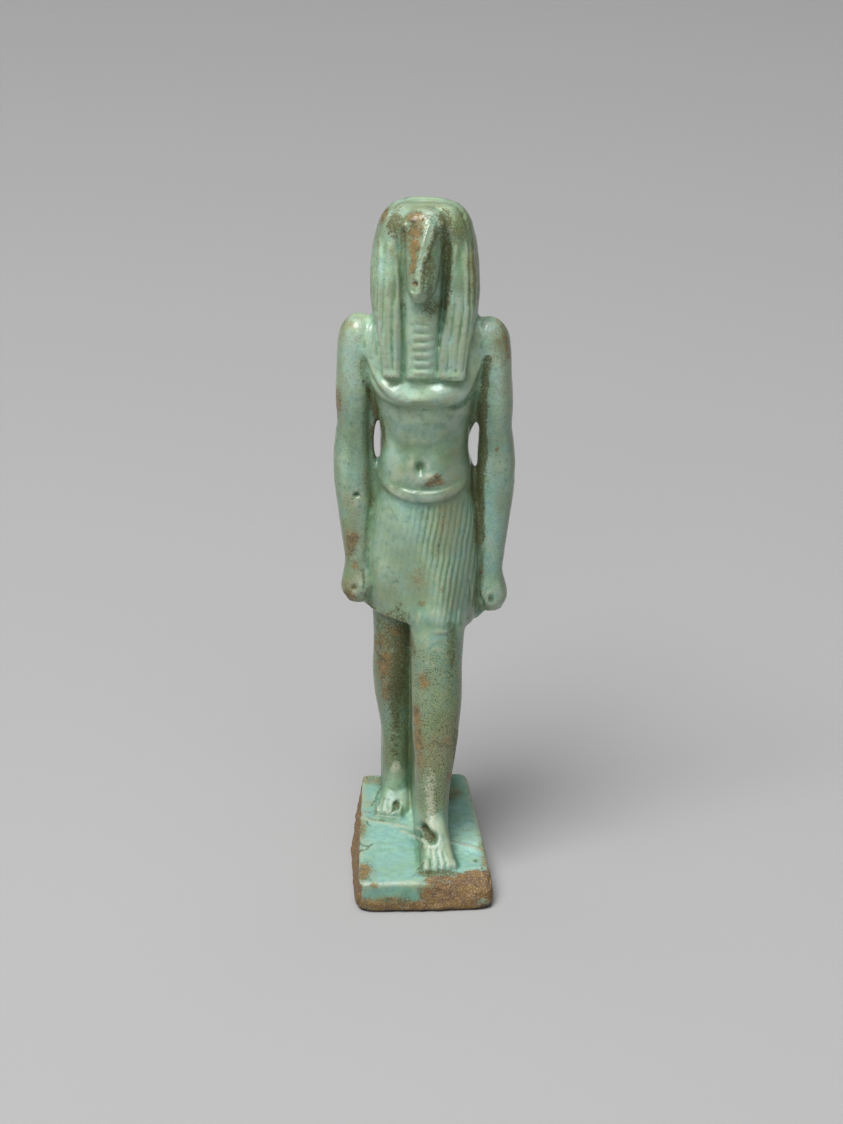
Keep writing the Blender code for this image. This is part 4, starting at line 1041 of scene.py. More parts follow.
# Painted light: patches where the painted shade, the dirt and the flanks' bloom are taken away, to lighten
# places in shade
SHADE_AND_DIRT_LIFTED = (
    (405, 735, 6, 45, 0, 0.6), (468, 842, 12, 12, 0, 0.7), (463, 388, 8, 12, 0, 0.8),
    (413, 816, 9, 13, 0, 1.0), (401, 780, 8, 16, 0, 0.9), (475, 345, 6, 36, 6, 0.9),
    (365, 368, 5, 20, -14, 0.5), (457, 386, 16, 7, -4, 0.7), (464, 832, 12, 10, 0, 0.6),
    (405, 755, 4, 16, 0, 0.5), (375, 478, 5, 16, 0, 0.4), (395, 387, 14, 6, 14, 0.5),
)
# Pale wear and painted highlights: worn patches, with the highlights of the shin and the rear ankle
PALE_WEAR_AND_HIGHLIGHTS = (
    (397, 767, 6, 7, 0, 0.85), (404, 772, 6, 6, 0, 0.5), (431, 795, 6, 26, 0, 0.6),
    (432, 822, 6, 10, 0, 0.6), (396, 704, 1.8, 1.8, 0, 1.0), (369, 464, 1.2, 1.2, 0, 1.0),
    (423, 303, 5, 2, 0, 0.3), (427, 476, 6, 3, -20, 0.6), (393, 487, 5, 1.6, 25, 0.5),
    (426, 846, 7, 2, 0, 0.6), (430, 664, 6, 5, 0, 0.3), (415, 690, 5, 5, 0, 0.25),
    (424, 640, 6, 8, 0, 0.25),
)
BARE = (
    (458, 894, 36, 17, -2, 1.0), (472, 880, 22, 10, -8, 1.0), (438, 879.5, 17, 4, -4, 0.8),
    (488, 886, 8, 20, 0, 1.0), (432, 898, 12, 12, 0, 0.9),
)
CRACKS = (
    ((357, 814), (372, 818), (395, 822), (416, 826), (424, 827)), ((401, 828), (414, 834), (428, 841)),
    ((452, 840), (470, 843), (489, 849)),
)
CREVICES = (
    ((354, 845), (356, 839), (361, 845), (368, 847)), ((358, 852), (367, 849), (372, 844)),
    ((362, 866), (367, 873), (371, 880)), ((380, 789), (376, 797), (372, 806)), ((367, 822), (371, 826)),
    ((417, 870), (422, 866), (424, 862)),
)
PITS = (
    (397, 805, 3.4, 4.6, 12, 0.35), (393.5, 810, 2, 3.4, 30, 0.2), (424.5, 830, 3.8, 6.6, -28, 0.8),
    (429, 837, 8.4, 6.6, 22, 0.9), (434, 838.5, 4, 4, 20, 0.5), (467, 829, 2, 1.4, 0, 0.15),
    (476, 860, 2.6, 2, 0, 0.15), (374, 819.5, 5, 1.4, 8, 0.15),
)
CORNER_LOSS = (5.8, 3.0, 1.3)

# Noises over the surface: size in millimetres, seed and octaves
CLOUDS = {
    "fine": (0.55, 1, 3), "coarse": (1.5, 2, 3), "faded carving": (2.0, 6, 3), "dents": (3.2, 4, 2),
    "bare core": (0.8, 8, 4), "break": (0.9, 11, 4), "tone": (3.0, 21, 4), "light": (2.6, 22, 3),
    "side rust": (3.0, 41, 4), "edge rust": (2.2, 42, 3), "back rust": (4.5, 43, 4),
    "flank bloom": (3.0, 45, 4), "leg bloom": (4.0, 44, 4),
}
FADE_STRETCH = (1.0, 1.0, 0.35)

# Skin: rounds that take the voxel steps out, rounds that find hollows, and how far those fill
STEP_ROUNDS = 3
FILL_ROUNDS = 12
FILL_GAP = 0.09
FILL_SHARE = 0.35

# Where the strands and the pleats fade out: place and span
STRAND_EDGES = {
    "hood foot": (53.2, 0.8), "hood depth": (4.9, 0.4), "side foot": (50.5, 0.8),
    "side width": (5.4, 0.3), "lappet foot": (49.1, 0.5), "lappet front": (-3.7, 0.3),
    "worn crown": (61.0, 3.5), "crown": (64.4, 0.8),
}
PLEAT_EDGES = {
    "hem": (22.4, 0.4), "side width": (6.3, 0.5), "round": (1.15, 0.1), "worn left": (-4.2, 5.0),
    "back": (1.0, 1.5),
}

# Rounds of smoothing that measure the small, middle and large hollows
HOLLOW_ROUNDS = (5, 24, 90)

# Noises of the glaze: features in a millimetre, detail and seed
NOISES = {
    "broad": (0.35, 3.0, 3.0), "mottle": (1.3, 5.0, 7.0), "grain": (4.5, 4.0, 11.0),
    "specks": (7.0, 2.0, 5.0), "hue": (0.7, 3.0, 29.0), "dust": (6.5, 3.0, 17.0),
}
# The light mask is painted light; the pool and dirt masks also paint shade; the thin and pale masks also
# paint sheen and highlights
MASKS = (
    "tone", "light", "pool_and_shade", "thin", "bloom", "dirt_and_shade", "rust", "pale", "specked", "bare", "matte",
    "pleated", "pleat",
)
# The light tint lightens the colour as painted light; the pooled tint darkens it for pooled glaze and
# painted shade alike
TINTS = {
    "light": (1.9, 1.75, 1.8, 1.0), "cool": (0.98, 1.0, 1.04, 1.0), "warm": (1.0, 0.99, 0.89, 1.0),
    "pooled": (0.46, 0.57, 0.46, 1.0),
}
# The paler colour of glaze on ridges also paints their sheen; the pale colour of wear also paints highlights
TONES = {
    "thin glaze and sheen": (0.46, 0.55, 0.42, 1.0), "pale wear and highlight": (0.56, 0.57, 0.43, 1.0),
    "khaki": (0.16, 0.20, 0.075, 1.0), "brown khaki": (0.21, 0.17, 0.06, 1.0),
    "pale dots": (0.33, 0.36, 0.17, 1.0), "dark specks": (0.075, 0.095, 0.045, 1.0),
    "sand": (0.29, 0.26, 0.125, 1.0), "dark rust": (0.095, 0.067, 0.024, 1.0),
    "rust": (0.27, 0.162, 0.052, 1.0), "pale rust": (0.42, 0.29, 0.13, 1.0),
    "dark core": (0.15, 0.092, 0.05, 1.0), "core": (0.225, 0.135, 0.047, 1.0),
    "pale core": (0.42, 0.31, 0.19, 1.0),
}
COAT_WEIGHT = 0.55
COAT_ROUGHNESS = 0.09
BUMP_DEPTH = 0.12


def corner_cut(points):
    """Height above the break at the base's front right corner, along the normal of its plane."""
    across, back, down = CORNER_LOSS
    corner = np.array((BASE_SHIFT + BASE_FRONT_WIDTH / 2, -BASE_HALF, BASE_HEIGHT))
    ends = [corner + np.array(end) for end in ((-across, 0, 0), (0, back, 0), (0, 0, -down))]
    normal = np.cross(ends[1] - ends[0], ends[2] - ends[0])
    normal /= np.linalg.norm(normal) * np.sign(normal[2])
    return (points - ends[0]) @ normal, normal


def softened(points, faces, edges):
    """Take the voxel steps out, and fill sharp hollows as pooled glaze does."""
    points = averaged(points, edges, STEP_ROUNDS)
    normals = normals_of(points, faces)
    smooth = averaged(points, edges, FILL_ROUNDS)
    gap = ((smooth - points) * normals).sum(axis=1)
    share = FILL_SHARE * over(gap, 0.0, FILL_GAP)
    return points + share[:, None] * (smooth - points)


def ahead_of_pillar(figure):
    """Share that keeps the carving off the plain back pillar."""
    before = under(figure[:, 1], BACK_REACH - 0.35, 0.3)
    above = smooth_step((figure[:, 2] - PILLAR_TOP - 0.2) / 0.3)
    return np.maximum(before, above)


def wig_share(figure):
    """Share of the wig at each point: the hood above the shoulders, and the fronts of both lappets."""
    x, y, z = figure.T
    centre, half = opening(z)
    beside = abs(x - centre) - half
    edge = STRAND_EDGES
    hood = over(z, *edge["hood foot"]) * under(abs(y), *edge["hood depth"])
    sides = over(z, *edge["side foot"]) * under(abs(x), *edge["side width"])
    lappets = over(z, *edge["lappet foot"]) * under(y, *edge["lappet front"])
    share = np.maximum(np.maximum(hood, sides), lappets) * smooth_step(beside / 0.2 + 0.5)
    share = share * ahead_of_pillar(figure)
    return share * (0.25 + 0.75 * under(z, *edge["worn crown"])) * under(z, *edge["crown"])


def pleat_place(figure):
    """Distance round the kilt: across its front, with a lean, and on backwards along its sides."""
    x, y, z = figure.T
    _, lean, level = PLEATS
    beside = over(abs(x), 2.2, 1.2)
    place = x + np.sign(x) * np.maximum(y + 2.0, 0.0) * beside
    return place + lean * (level - z) * under(y, 3.0, 2)


def pleat_share(figure):
    """Share of the pleats at each point of the kilt: worn away on the left and towards the hem there."""
    x, y, z = figure.T
    across = np.hypot(x / 6.0, np.minimum(y, 0.0) / 8.0)
    edge = PLEAT_EDGES
    kilt = over(z, *edge["hem"]) * smooth_step((35.3 - z) / 0.5 - 0.9 * np.clip(-y, 0, 4) / 4)
    kilt = kilt * under(abs(x), *edge["side width"]) * under(across, *edge["round"])
    crisp = over(x, *edge["worn left"]) * smooth_step((z - 29.0 + 2.2 * (x + 1.5)) / 5)
    kilt = kilt * ahead_of_pillar(figure)
    return kilt * (0.2 + 0.8 * np.maximum(crisp, over(y, *edge["back"])))


def collar_rows(skin):
    """Height of the collar's rows: raised waves at a pitch down the throat, faint at the top."""
    first, pitch, count, left, right = COLLAR
    last = first + (count + 0.5) * pitch
    rows = smooth_step(0.5 + 0.5 * np.cos(2 * math.pi * (skin.v - first) / pitch))
    window = smooth_step((skin.v - first + pitch / 2) / 4) * under(skin.v, last, 3)
    window = window * over(skin.u, left, 4) * under(skin.u, right, 9)
    window = window * (0.35 + 0.65 * over(skin.v, 320, 14))
    return COLLAR_RELIEF * rows * window * skin.front * under(skin.figure[:, 1], -3.6, 0.3)


def engraved(skin, sizes):
    """Height of the carved detail: strands, pleats, collar rows, and the lines and swells of the body."""
    height = np.zeros(len(skin.points))
    for row in SWELLS:
        height += row[5] * skin.spot(row[:5] + (1.0,), 0.15, 1.6) * skin.front
    for width, depth, places in CARVED:
        height -= depth * skin.line(places, width, 0.6)
    patchy = cloud(skin.points * np.array(FADE_STRETCH), "faded carving")
    strands = furrows(strand_place(skin.figure) + STRAND_WANDER * skin.coarse, STRAND_PITCH)
    height -= sizes.strand_depth * strands * wig_share(skin.figure) * over(patchy, 0.2, 0.3)
    uneven = np.clip(0.15 + 1.8 * (patchy - 0.25), 0.1, 1.2)
    height -= sizes.pleat_depth * furrows(skin.pleat, PLEATS[0]) * pleat_share(skin.figure) * uneven
    height += collar_rows(skin)
    return height


def worn(skin):
    """Height of the marks of use and age: pits, cracks, the bare core's roughness and an uneven skin."""
    points = skin.points
    near_base = under(points[:, 2], BASE_HEIGHT + 0.4, 0.4)
    broad = cloud(points, "dents") - 0.5
    height = 0.1 * broad + 0.05 * skin.coarse * (1 - 0.7 * near_base) + 0.016 * skin.fine
    left = over(-skin.normals[:, 0], 0.5, 0.3) * near_base
    bottom = under(points[:, 2], 1.0, 0.5)
    bare = np.maximum(skin.spots(BARE, 0.4), np.maximum(0.9 * left, 0.6 * bottom * near_base))
    height -= 0.35 * bare * cloud(points, "bare core")
    height -= skin.spots(PITS, 0.5, 0.6)
    for places in CRACKS:
        height -= 0.07 * skin.line(places, 1.0, 3.0)
        height += 0.08 * skin.line([(u, v + 3) for u, v in places], 2.0, 3.0)
    for places in CREVICES:
        height -= 0.12 * skin.line(places, 0.9, 3.0)
    height += 0.12 * skin.spots(RUST) * skin.fine
    return height


def broken(points):
    """Cut the base's front right corner back to its rough break."""
    above, normal = corner_cut(points)
    near_base = under(points[:, 2], BASE_HEIGHT + 0.4, 0.4)
    rough = cloud(points, "break") - 0.5
    above = above + 0.7 * rough * smooth_step(above / 0.6 + 1)
    lost = (above + np.hypot(above, 0.3)) / 2 * near_base * smooth_step(above / 0.8 + 1)
    return points - lost[:, None] * normal


def cast(sizes):
    """Join all forms into one closed skin, soften, carve and wear it, and thin it to its triangle limit."""
    forms = [
        trunk_form(), breast_form(), throat_form(), hood_form(), lappet_form(LEFT_LAPPET),
        lappet_form(RIGHT_LAPPET), *head_forms(), *arm_forms("left"), *arm_forms("right"),
        kilt_form(), *leg_forms(), pillar_form(), base_form(),
    ]
    block = new_object("forms", *joined(forms))
    fuse = block.modifiers.new("fuse", "REMESH")
    fuse.mode = "VOXEL"
    fuse.voxel_size = sizes.grain * MM
    points, faces = read_mesh(applied(block))
    remove(block)
    edges = edges_of(faces)
    skin = Surface(broken(softened(points, faces, edges)), faces, edges)
    height = engraved(skin, sizes) + worn(skin)
    points = skin.points + height[:, None] * skin.normals
    points[:, 2] = np.maximum(points[:, 2], 0.0)
    block = new_object("skin", points, faces)
    thin = block.modifiers.new("thin", "DECIMATE")
    thin.ratio = min(1.0, TRIANGLE_LIMIT / len(faces))
    points, faces = read_mesh(applied(block))
    remove(block)
    return points, faces


class Parts:
    """Shares of the amulet's parts, and depths of its hollows, which the colours follow, by point."""

    def __init__(self, surface):
        x, y, z = surface.figure.T
        self.base = under(z, 0.5, 0.6)
        self.feet = under(z, 7.0, 3.5)
        self.legs = under(z, 22.5, 3) * over(z, 3.0, 3)
        self.arms = over(abs(x), 5.4, 0.4) * over(z, 23.0, 1)
        self.upper = over(z, 43.0, 4)
        self.head = over(z, 55.0, 4)
        self.behind = over(y, -1.0, 1.5)
        self.low = under(surface.points[:, 2], BASE_HEIGHT, 0.4)
        # patches where painted shade and dirt are lifted, as painted light
        self.clean = surface.spots(SHADE_AND_DIRT_LIFTED, 0.6, 1.0)
        breast = under(z, 54.5, 1) * over(z, 47, 1) * (abs(x) < 6.2)
        # Sides that face sideways: painted shade and khaki bloom go on them
        self.flank = over(abs(surface.normals[:, 0]), 0.5, 0.45) * (1 - self.base)
        self.flank = self.flank * (1 - breast)
        self.small, self.middle, self.large = (surface.hollow(rounds) for rounds in HOLLOW_ROUNDS)


def tone_mask(surface, parts):
    """Turquoise tone: patches, the lower legs and the base, and a broad noise."""
    z = surface.figure[:, 2]
    tone = 0.1 + 0.8 * surface.spots(TEAL, 0.9, 1.4) + 0.7 * parts.base
    return tone + 0.2 * under(z, 23.0, 3) + 0.8 * (cloud(surface.points, "tone") - 0.5)


def painted_light_mask(surface, parts):
    """Painted light: a lighter colour on the upper body, unevenly, and in patches, standing for its
    highlights.
    """
    light = parts.upper * np.clip(0.7 + 1.4 * (cloud(surface.points, "light") - 0.5), 0.3, 1.0)
    return np.maximum(light, surface.spots(PAINTED_LIGHT, 0.7, 1.3))


def pool_and_shade_mask(surface, parts):
    """Darker colour: pooled glaze and painted shade in hollows and along lines, painted shade on the flanks
    and the legs, and darker on the base's front face low down.
    """
    pool_and_shade = over(parts.small, 0.004, 0.035) * 0.35
    pool_and_shade = pool_and_shade + over(parts.middle, 0.015, 0.11) * 0.8
    for width, strength, places in SHADE_AND_POOL_LINES:
        pool_and_shade = np.maximum(pool_and_shade, strength * surface.line(places, width, 2.0))
    # painted shade on the flanks, which face sideways, and on the legs
    pool_and_shade = (np.maximum(pool_and_shade, 0.55 * parts.flank) + 0.3 * parts.legs) * (1 - parts.clean)
    # darker on the base's front face, low down
    return pool_and_shade + 0.7 * parts.low * over(-surface.normals[:, 1], 0.0, 0.5) * parts.base


def thin_glaze_and_sheen_mask(parts):
    """Paler colour on ridges of two sizes: glaze thinned there, and painted sheen."""
    fine = over(-parts.small, 0.003, 0.02) * 0.5
    return fine + over(-parts.middle, 0.01, 0.08) * 0.6


def groove_share(surface):
    """Share of the web in the groove between the body and each arm."""
    x, y, z = surface.figure.T
    inner = 3.9 + (x > 0) * (0.4 + 0.9 * over(z, 42.0, 4))
    beside = over(abs(x), inner, 0.5) * under(abs(x), 6.8, 0.6)
    beside = beside * over(y, -1.3, 0.6)
    return beside * surface.front * under(z, 50.0, 1.5) * over(z, 25.0, 4)


def dirt_and_shade_mask(surface, parts):
    """Olive dirt and painted shade: deep hollows, patches, crevices and dark lines in grooves, and the
    grooves beside the arms.
    """
    dirt_and_shade = smooth_step((parts.large - 0.28) / 0.5 + 0.5 * surface.fine) * 0.8
    dirt_and_shade = np.maximum(dirt_and_shade, surface.spots(DIRT_AND_SHADE, 0.9, 0.9))
    for places in CREVICES:
        dirt_and_shade = np.maximum(dirt_and_shade, 0.8 * surface.line(places, 1.1, 3.0))
    for width, strength, places in GROOVE_DIRT_AND_SHADE:
        dirt_and_shade = np.maximum(dirt_and_shade, strength * smooth_step(1.5 * surface.line(places, width, 5.0)))
    right = surface.figure[:, 0] > 0
    dirt_and_shade = np.maximum(dirt_and_shade, groove_share(surface) * np.where(right, 0.8, 0.3))
    return dirt_and_shade * (1 - parts.clean)


def rust_mask(surface, parts):
    """Rust-brown stains: patches in front, and scattered ones on edges and on the sides out of view."""
    points = surface.points
    scatter = over(cloud(points, "side rust"), 0.62, 0.15)
    rust = np.maximum(surface.spots(RUST, 0.8, 1.5), 0.5 * scatter * (1 - surface.front) * (1 - parts.base))
    edge = over(-parts.large, 0.2, 0.25)
    rust = np.maximum(rust, 0.25 * edge * over(cloud(points, "edge rust"), 0.5, 0.2))
    return np.maximum(rust, 0.6 * parts.behind * over(cloud(points, "back rust"), 0.58, 0.12))


def bloom_mask(surface, parts, rust):
    """Khaki bloom: patches, round the rust, on the flanks, and spread over the legs; on the flanks and the
    legs it also paints their shade.
    """
    points = surface.points
    bloom = np.maximum(surface.spots(BLOOM, 1.0, 1.5), 0.7 * rust)
    patchy = over(cloud(points, "flank bloom"), 0.35, 0.3)
    bloom = np.maximum(bloom, 0.6 * parts.flank * (1 - parts.clean) * patchy)
    spread = over(cloud(points, "leg bloom"), 0.45, 0.3) * (1 - 0.85 * parts.base)
    return np.maximum(bloom, 0.25 * spread + parts.legs * (0.35 + 0.5 * spread))


def speck_mask(parts, bloom):
    """Density of pale dots and dark specks, thickest on the legs."""
    specked = 0.08 + 0.9 * parts.legs + 0.25 * parts.arms + 0.2 * parts.head
    return specked + 0.25 * bloom + 0.1 * parts.base


def pale_wear_and_highlight_mask(surface):
    """Pale wear and painted highlights: patches, and a band just below each crack."""
    pale = surface.spots(PALE_WEAR_AND_HIGHLIGHTS, 1.0, 0.9)
    for line in CRACKS:
        below = [(u, v + 2) for u, v in line]
        pale = np.maximum(pale, 0.5 * surface.line(below, 3.2, 3.0))
    return pale


def bare_mask(surface, parts):
    """Bare core: chips, the base's left side, its bottom edge and the break at its corner."""
    height = surface.points[:, 2]
    left = over(-surface.normals[:, 0], 0.35, 0.3) * parts.low
    bottom = under(height, 1.35, 0.4)
    above, _ = corner_cut(surface.points)
    corner = over(above, -0.45, 0.3) * under(height, BASE_HEIGHT + 0.2, 0.2)
    bare = np.maximum.reduce((surface.spots(BARE, 0.4, 0.5), 0.95 * left, 0.85 * bottom, corner))
    return bare * smooth_step(bare + 0.6 * surface.coarse + 0.3 * surface.fine)


def painted(surface):
    """Masks of the glaze by point, and the two places that shade the pleats."""
    parts = Parts(surface)
    rust = rust_mask(surface, parts)
    bloom = bloom_mask(surface, parts, rust)
    # The light mask is painted light; the pool and dirt masks also paint shade; the thin and pale masks also
    # paint sheen and highlights
    return {
        "tone": tone_mask(surface, parts), "light": painted_light_mask(surface, parts),
        "pool_and_shade": pool_and_shade_mask(surface, parts), "thin": thin_glaze_and_sheen_mask(parts), "bloom": bloom,
        "dirt_and_shade": dirt_and_shade_mask(surface, parts), "rust": rust, "pale": pale_wear_and_highlight_mask(surface),
        "specked": speck_mask(parts, bloom), "bare": bare_mask(surface, parts), "matte": parts.feet,
        "pleated": pleat_share(surface.figure), "pleat": surface.pleat / PLEATS[0] / PHASE_SPAN + 0.5,
    }


class AmuletSizes(bpy.types.PropertyGroup):
    """Sizes and colours of the amulet and its stage."""

    grain: FloatProperty(name="Grain", description="Edge of the cells that fuse the forms, in mm",
                         default=0.15, min=0.12, max=0.4)
    strand_depth: FloatProperty(name="Strand depth", description="Depth of the wig's furrows, in mm",
                                default=0.2, min=0.0, max=0.5)
    pleat_depth: FloatProperty(name="Pleat depth", description="Depth of the kilt's furrows, in mm",
                               default=0.1, min=0.0, max=0.5)
    green: FloatVectorProperty(name="Green glaze", description="Grey-green tone of the glaze",
                               subtype="COLOR", size=4, default=(0.274, 0.41, 0.278, 1.0))
    turquoise: FloatVectorProperty(name="Turquoise glaze", description="Bluer tone of the glaze",
                                   subtype="COLOR", size=4, default=(0.285, 0.53, 0.46, 1.0))
    # Olive colour of the dirt, which also paints shade in hollows and grooves
    olive: FloatVectorProperty(name="Dirt", description="Olive dirt in the hollows",
                               subtype="COLOR", size=4, default=(0.10, 0.105, 0.035, 1.0))
    roughness: FloatProperty(name="Roughness", description="Roughness of the sound glaze",
                             subtype="FACTOR", default=0.3, min=0.0, max=1.0)
    key_power: FloatProperty(name="Key light", description="Power of the light high on the left",
                             unit="POWER", default=5.3, min=0.0)
    over_power: FloatProperty(name="Overhead lights", description="Power of each wide light overhead",
                              unit="POWER", default=1.8, min=0.0)
    front_power: FloatProperty(name="Front light", description="Power of the small light in front",
                               unit="POWER", default=0.35, min=0.0)
    floor_tone: FloatProperty(name="Floor", description="Brightness of the pale floor",
                              subtype="FACTOR", default=0.42, min=0.0, max=1.0)


class Graph:
    """Short hand for building a node material."""

    def __init__(self, name):
        self.material = bpy.data.materials.new(name)
        self.material.use_nodes = True
        self.nodes = self.material.node_tree.nodes
        self.links = self.material.node_tree.links
        self.shader = self.nodes["Principled BSDF"]

    def add(self, kind, links=None, **values):
        """New node; capital names are values of its inputs, others its properties, links come last."""
        node = self.nodes.new("ShaderNode" + kind)
        for key, value in values.items():
            if key[0].isupper():
                node.inputs[key].default_value = value
            else:
                setattr(node, key, value)
        for key, output in (links or {}).items():
            self.links.new(output, node.inputs[key])
        return node

    def noise(self, place, scale, detail=4.0, seed=0.0):
        """Noise value at a scale in features per millimetre."""
        moved = self.add("Mapping", {"Vector": place}, Location=(seed, seed, seed))
        return self.add("TexNoise", {"Vector": moved.outputs[0]}, Scale=scale, Detail=detail).outputs[0]

    def ridges(self, phase):
        """Furrow shape of a stored phase: 1 on each whole number, 0 half way between."""
        turns = self.add("Math", operation="MULTIPLY")
        self.links.new(phase, turns.inputs[0])
        turns.inputs[1].default_value = PHASE_SPAN
        away = self.add("Math", {0: turns.outputs[0]}, operation="PINGPONG")
        away.inputs[1].default_value = 0.5
        return self.spread(away.outputs[0], 0.22, 0.0)

    def spread(self, value, low, high, to_low=0.0, to_high=1.0):
        """Map a value from one range to another, held at its ends."""
        node = self.add("MapRange", {"Value": value})
        for key, number in zip(("From Min", "From Max", "To Min", "To Max"), (low, high, to_low, to_high)):
            node.inputs[key].default_value = number
        return node.outputs[0]

    def sum(self, first, second, operation="ADD"):
        """One arithmetic step on two values, held between 0 and 1."""
        node = self.add("Math", operation=operation, use_clamp=True)
        for socket, value in zip(node.inputs, (first, second)):
            if isinstance(value, (int, float)):
                socket.default_value = value
            else:
                self.links.new(value, socket)
        return node.outputs[0]

    def mix(self, share, first, second, blend="MIX"):
        """Blend two colours, each a value or an output, by a share."""
        node = self.add("Mix", data_type="RGBA", blend_type=blend)
        for socket, value in ((node.inputs[0], share), (node.inputs[6], first), (node.inputs[7], second)):
            if isinstance(value, bpy.types.NodeSocket):
                self.links.new(value, socket)
            else:
                socket.default_value = value
        return node.outputs[2]


def sound_glaze(g, mask, noise, furrow, sizes):
    """Glaze: two tones, painted light on the upper body and in patches, paler glaze on ridges with painted
    sheen, a shift of hue, mottling, and pooled glaze with painted shade.
    """
    mottle = noise["mottle"]
    tone = g.sum(mask["tone"], g.spread(noise["broad"], 0.3, 0.7, -0.15, 0.15))
    colour = g.mix(tone, tuple(sizes.green), tuple(sizes.turquoise))
    # painted light: the light mask lightens the colour by the light tint, standing for highlights
    light = g.spread(g.sum(mask["light"], g.spread(mottle, 0.3, 0.7, -0.2, 0.2)), 0.0, 1.0)
    colour = g.mix(light, colour, g.mix(1.0, colour, TINTS["light"], "MULTIPLY"))
    # paler glaze on ridges, which also paints their sheen
    thin = g.sum(mask["thin"], g.spread(mottle, 0.35, 0.65, 0.3, 1.0), "MULTIPLY")
    colour = g.mix(thin, colour, TONES["thin glaze and sheen"])
    hue = g.spread(noise["hue"], 0.42, 0.6)
    colour = g.mix(hue, g.mix(1.0, colour, TINTS["cool"], "MULTIPLY"),
                   g.mix(1.0, colour, TINTS["warm"], "MULTIPLY"))
    shade = g.spread(mottle, 0.3, 0.7, 0.86, 1.1)
    grey = g.add("CombineColor", {0: shade, 1: shade, 2: shade}).outputs[0]
    colour = g.mix(1.0, colour, grey, "MULTIPLY")
    # pooled glaze, which also paints shade in hollows, along lines, on the flanks and on the legs
    pool_and_shade = g.sum(mask["pool_and_shade"], g.sum(furrow, 0.6, "MULTIPLY"))
    return g.mix(pool_and_shade, colour, g.mix(1.0, colour, TINTS["pooled"], "MULTIPLY"))


def bloomed(g, mask, noise, cover, colour):
    """Khaki bloom over the glaze, with pale dots and dark specks."""
    khaki = g.mix(g.spread(noise["broad"], 0.4, 0.6), TONES["khaki"], TONES["brown khaki"])
    colour = g.mix(cover["bloom"], colour, khaki)
    dots = g.sum(g.spread(noise["dust"], 0.54, 0.63), mask["specked"], "MULTIPLY")
    colour = g.mix(dots, colour, TONES["pale dots"])
    dark = g.sum(g.spread(noise["specks"], 0.45, 0.35), mask["specked"], "MULTIPLY")
    return g.mix(dark, colour, TONES["dark specks"])


def weathered(g, noise, cover, colour, sizes):
    """Pale wear with painted highlights, dirt and painted shade with sand in it, rust and bare core, each
    over the last.
    """
    mottle = noise["mottle"]
    specks = noise["specks"]
    colour = g.mix(cover["pale"], colour, TONES["pale wear and highlight"])
    dirt_and_shade = g.mix(g.spread(noise["dust"], 0.58, 0.7, 0.0, 0.8), tuple(sizes.olive), TONES["sand"])
    colour = g.mix(cover["dirt_and_shade"], colour, dirt_and_shade)
    rust = g.mix(g.spread(mottle, 0.35, 0.6), TONES["dark rust"], TONES["rust"])
    rust = g.mix(g.spread(specks, 0.55, 0.7, 0.0, 0.8), rust, TONES["pale rust"])
    colour = g.mix(cover["rust"], colour, rust)
    core = g.mix(g.spread(mottle, 0.42, 0.58), TONES["dark core"], TONES["core"])
    core = g.mix(g.spread(specks, 0.5, 0.7), core, TONES["pale core"])
    return g.mix(cover["bare"], colour, core)


def glossed(g, mask, noise, cover, sizes):
    """Roughness and clear coat: dull on core, dirt and painted shade, rust, bloom and the feet, glossy
    elsewhere.
    """
    dull = g.sum(g.sum(cover["bare"], 0.45, "MULTIPLY"), g.sum(cover["dirt_and_shade"], 0.3, "MULTIPLY"))
    feet = g.sum(mask["matte"], 0.12, "MULTIPLY")
    dull = g.sum(dull, g.sum(g.sum(cover["rust"], 0.2, "MULTIPLY"), feet))
    dull = g.sum(dull, g.sum(cover["bloom"], 0.1, "MULTIPLY"))
    uneven = g.spread(noise["mottle"], 0.3, 0.7, sizes.roughness - 0.04, sizes.roughness + 0.06)
    g.links.new(g.sum(uneven, dull), g.shader.inputs["Roughness"])
    g.shader.inputs["Specular IOR Level"].default_value = 0.5
    g.shader.inputs["Coat Roughness"].default_value = COAT_ROUGHNESS
    spoiled = g.sum(cover["bare"], g.sum(cover["dirt_and_shade"], 0.7, "MULTIPLY"))
    spoiled = g.sum(spoiled, g.sum(mask["matte"], 0.6, "MULTIPLY"))
    coat = g.sum(COAT_WEIGHT, g.sum(spoiled, 0.55, "MULTIPLY"), "SUBTRACT")
    g.links.new(coat, g.shader.inputs["Coat Weight"])


def fine_relief(g, noise, cover, furrow):
    """Bump: grain on core, dirt and painted shade, rust and bloom, a soft mottle, and the pleats' furrows.
    """
    stained = g.sum(g.sum(cover["rust"], cover["bloom"]), 0.5, "MULTIPLY")
    coarse = g.sum(g.sum(cover["bare"], g.sum(cover["dirt_and_shade"], 0.5, "MULTIPLY")), stained)
    relief = g.sum(noise["grain"], g.sum(coarse, 0.7, "MULTIPLY"), "MULTIPLY")
    relief = g.sum(relief, g.sum(noise["mottle"], 0.15, "MULTIPLY"))
    relief = g.sum(relief, g.sum(furrow, 0.6, "MULTIPLY"), "SUBTRACT")
    bump = g.add("Bump", {"Height": relief}, Distance=BUMP_DEPTH * MM, Strength=0.7)
    g.links.new(bump.outputs[0], g.shader.inputs["Normal"])


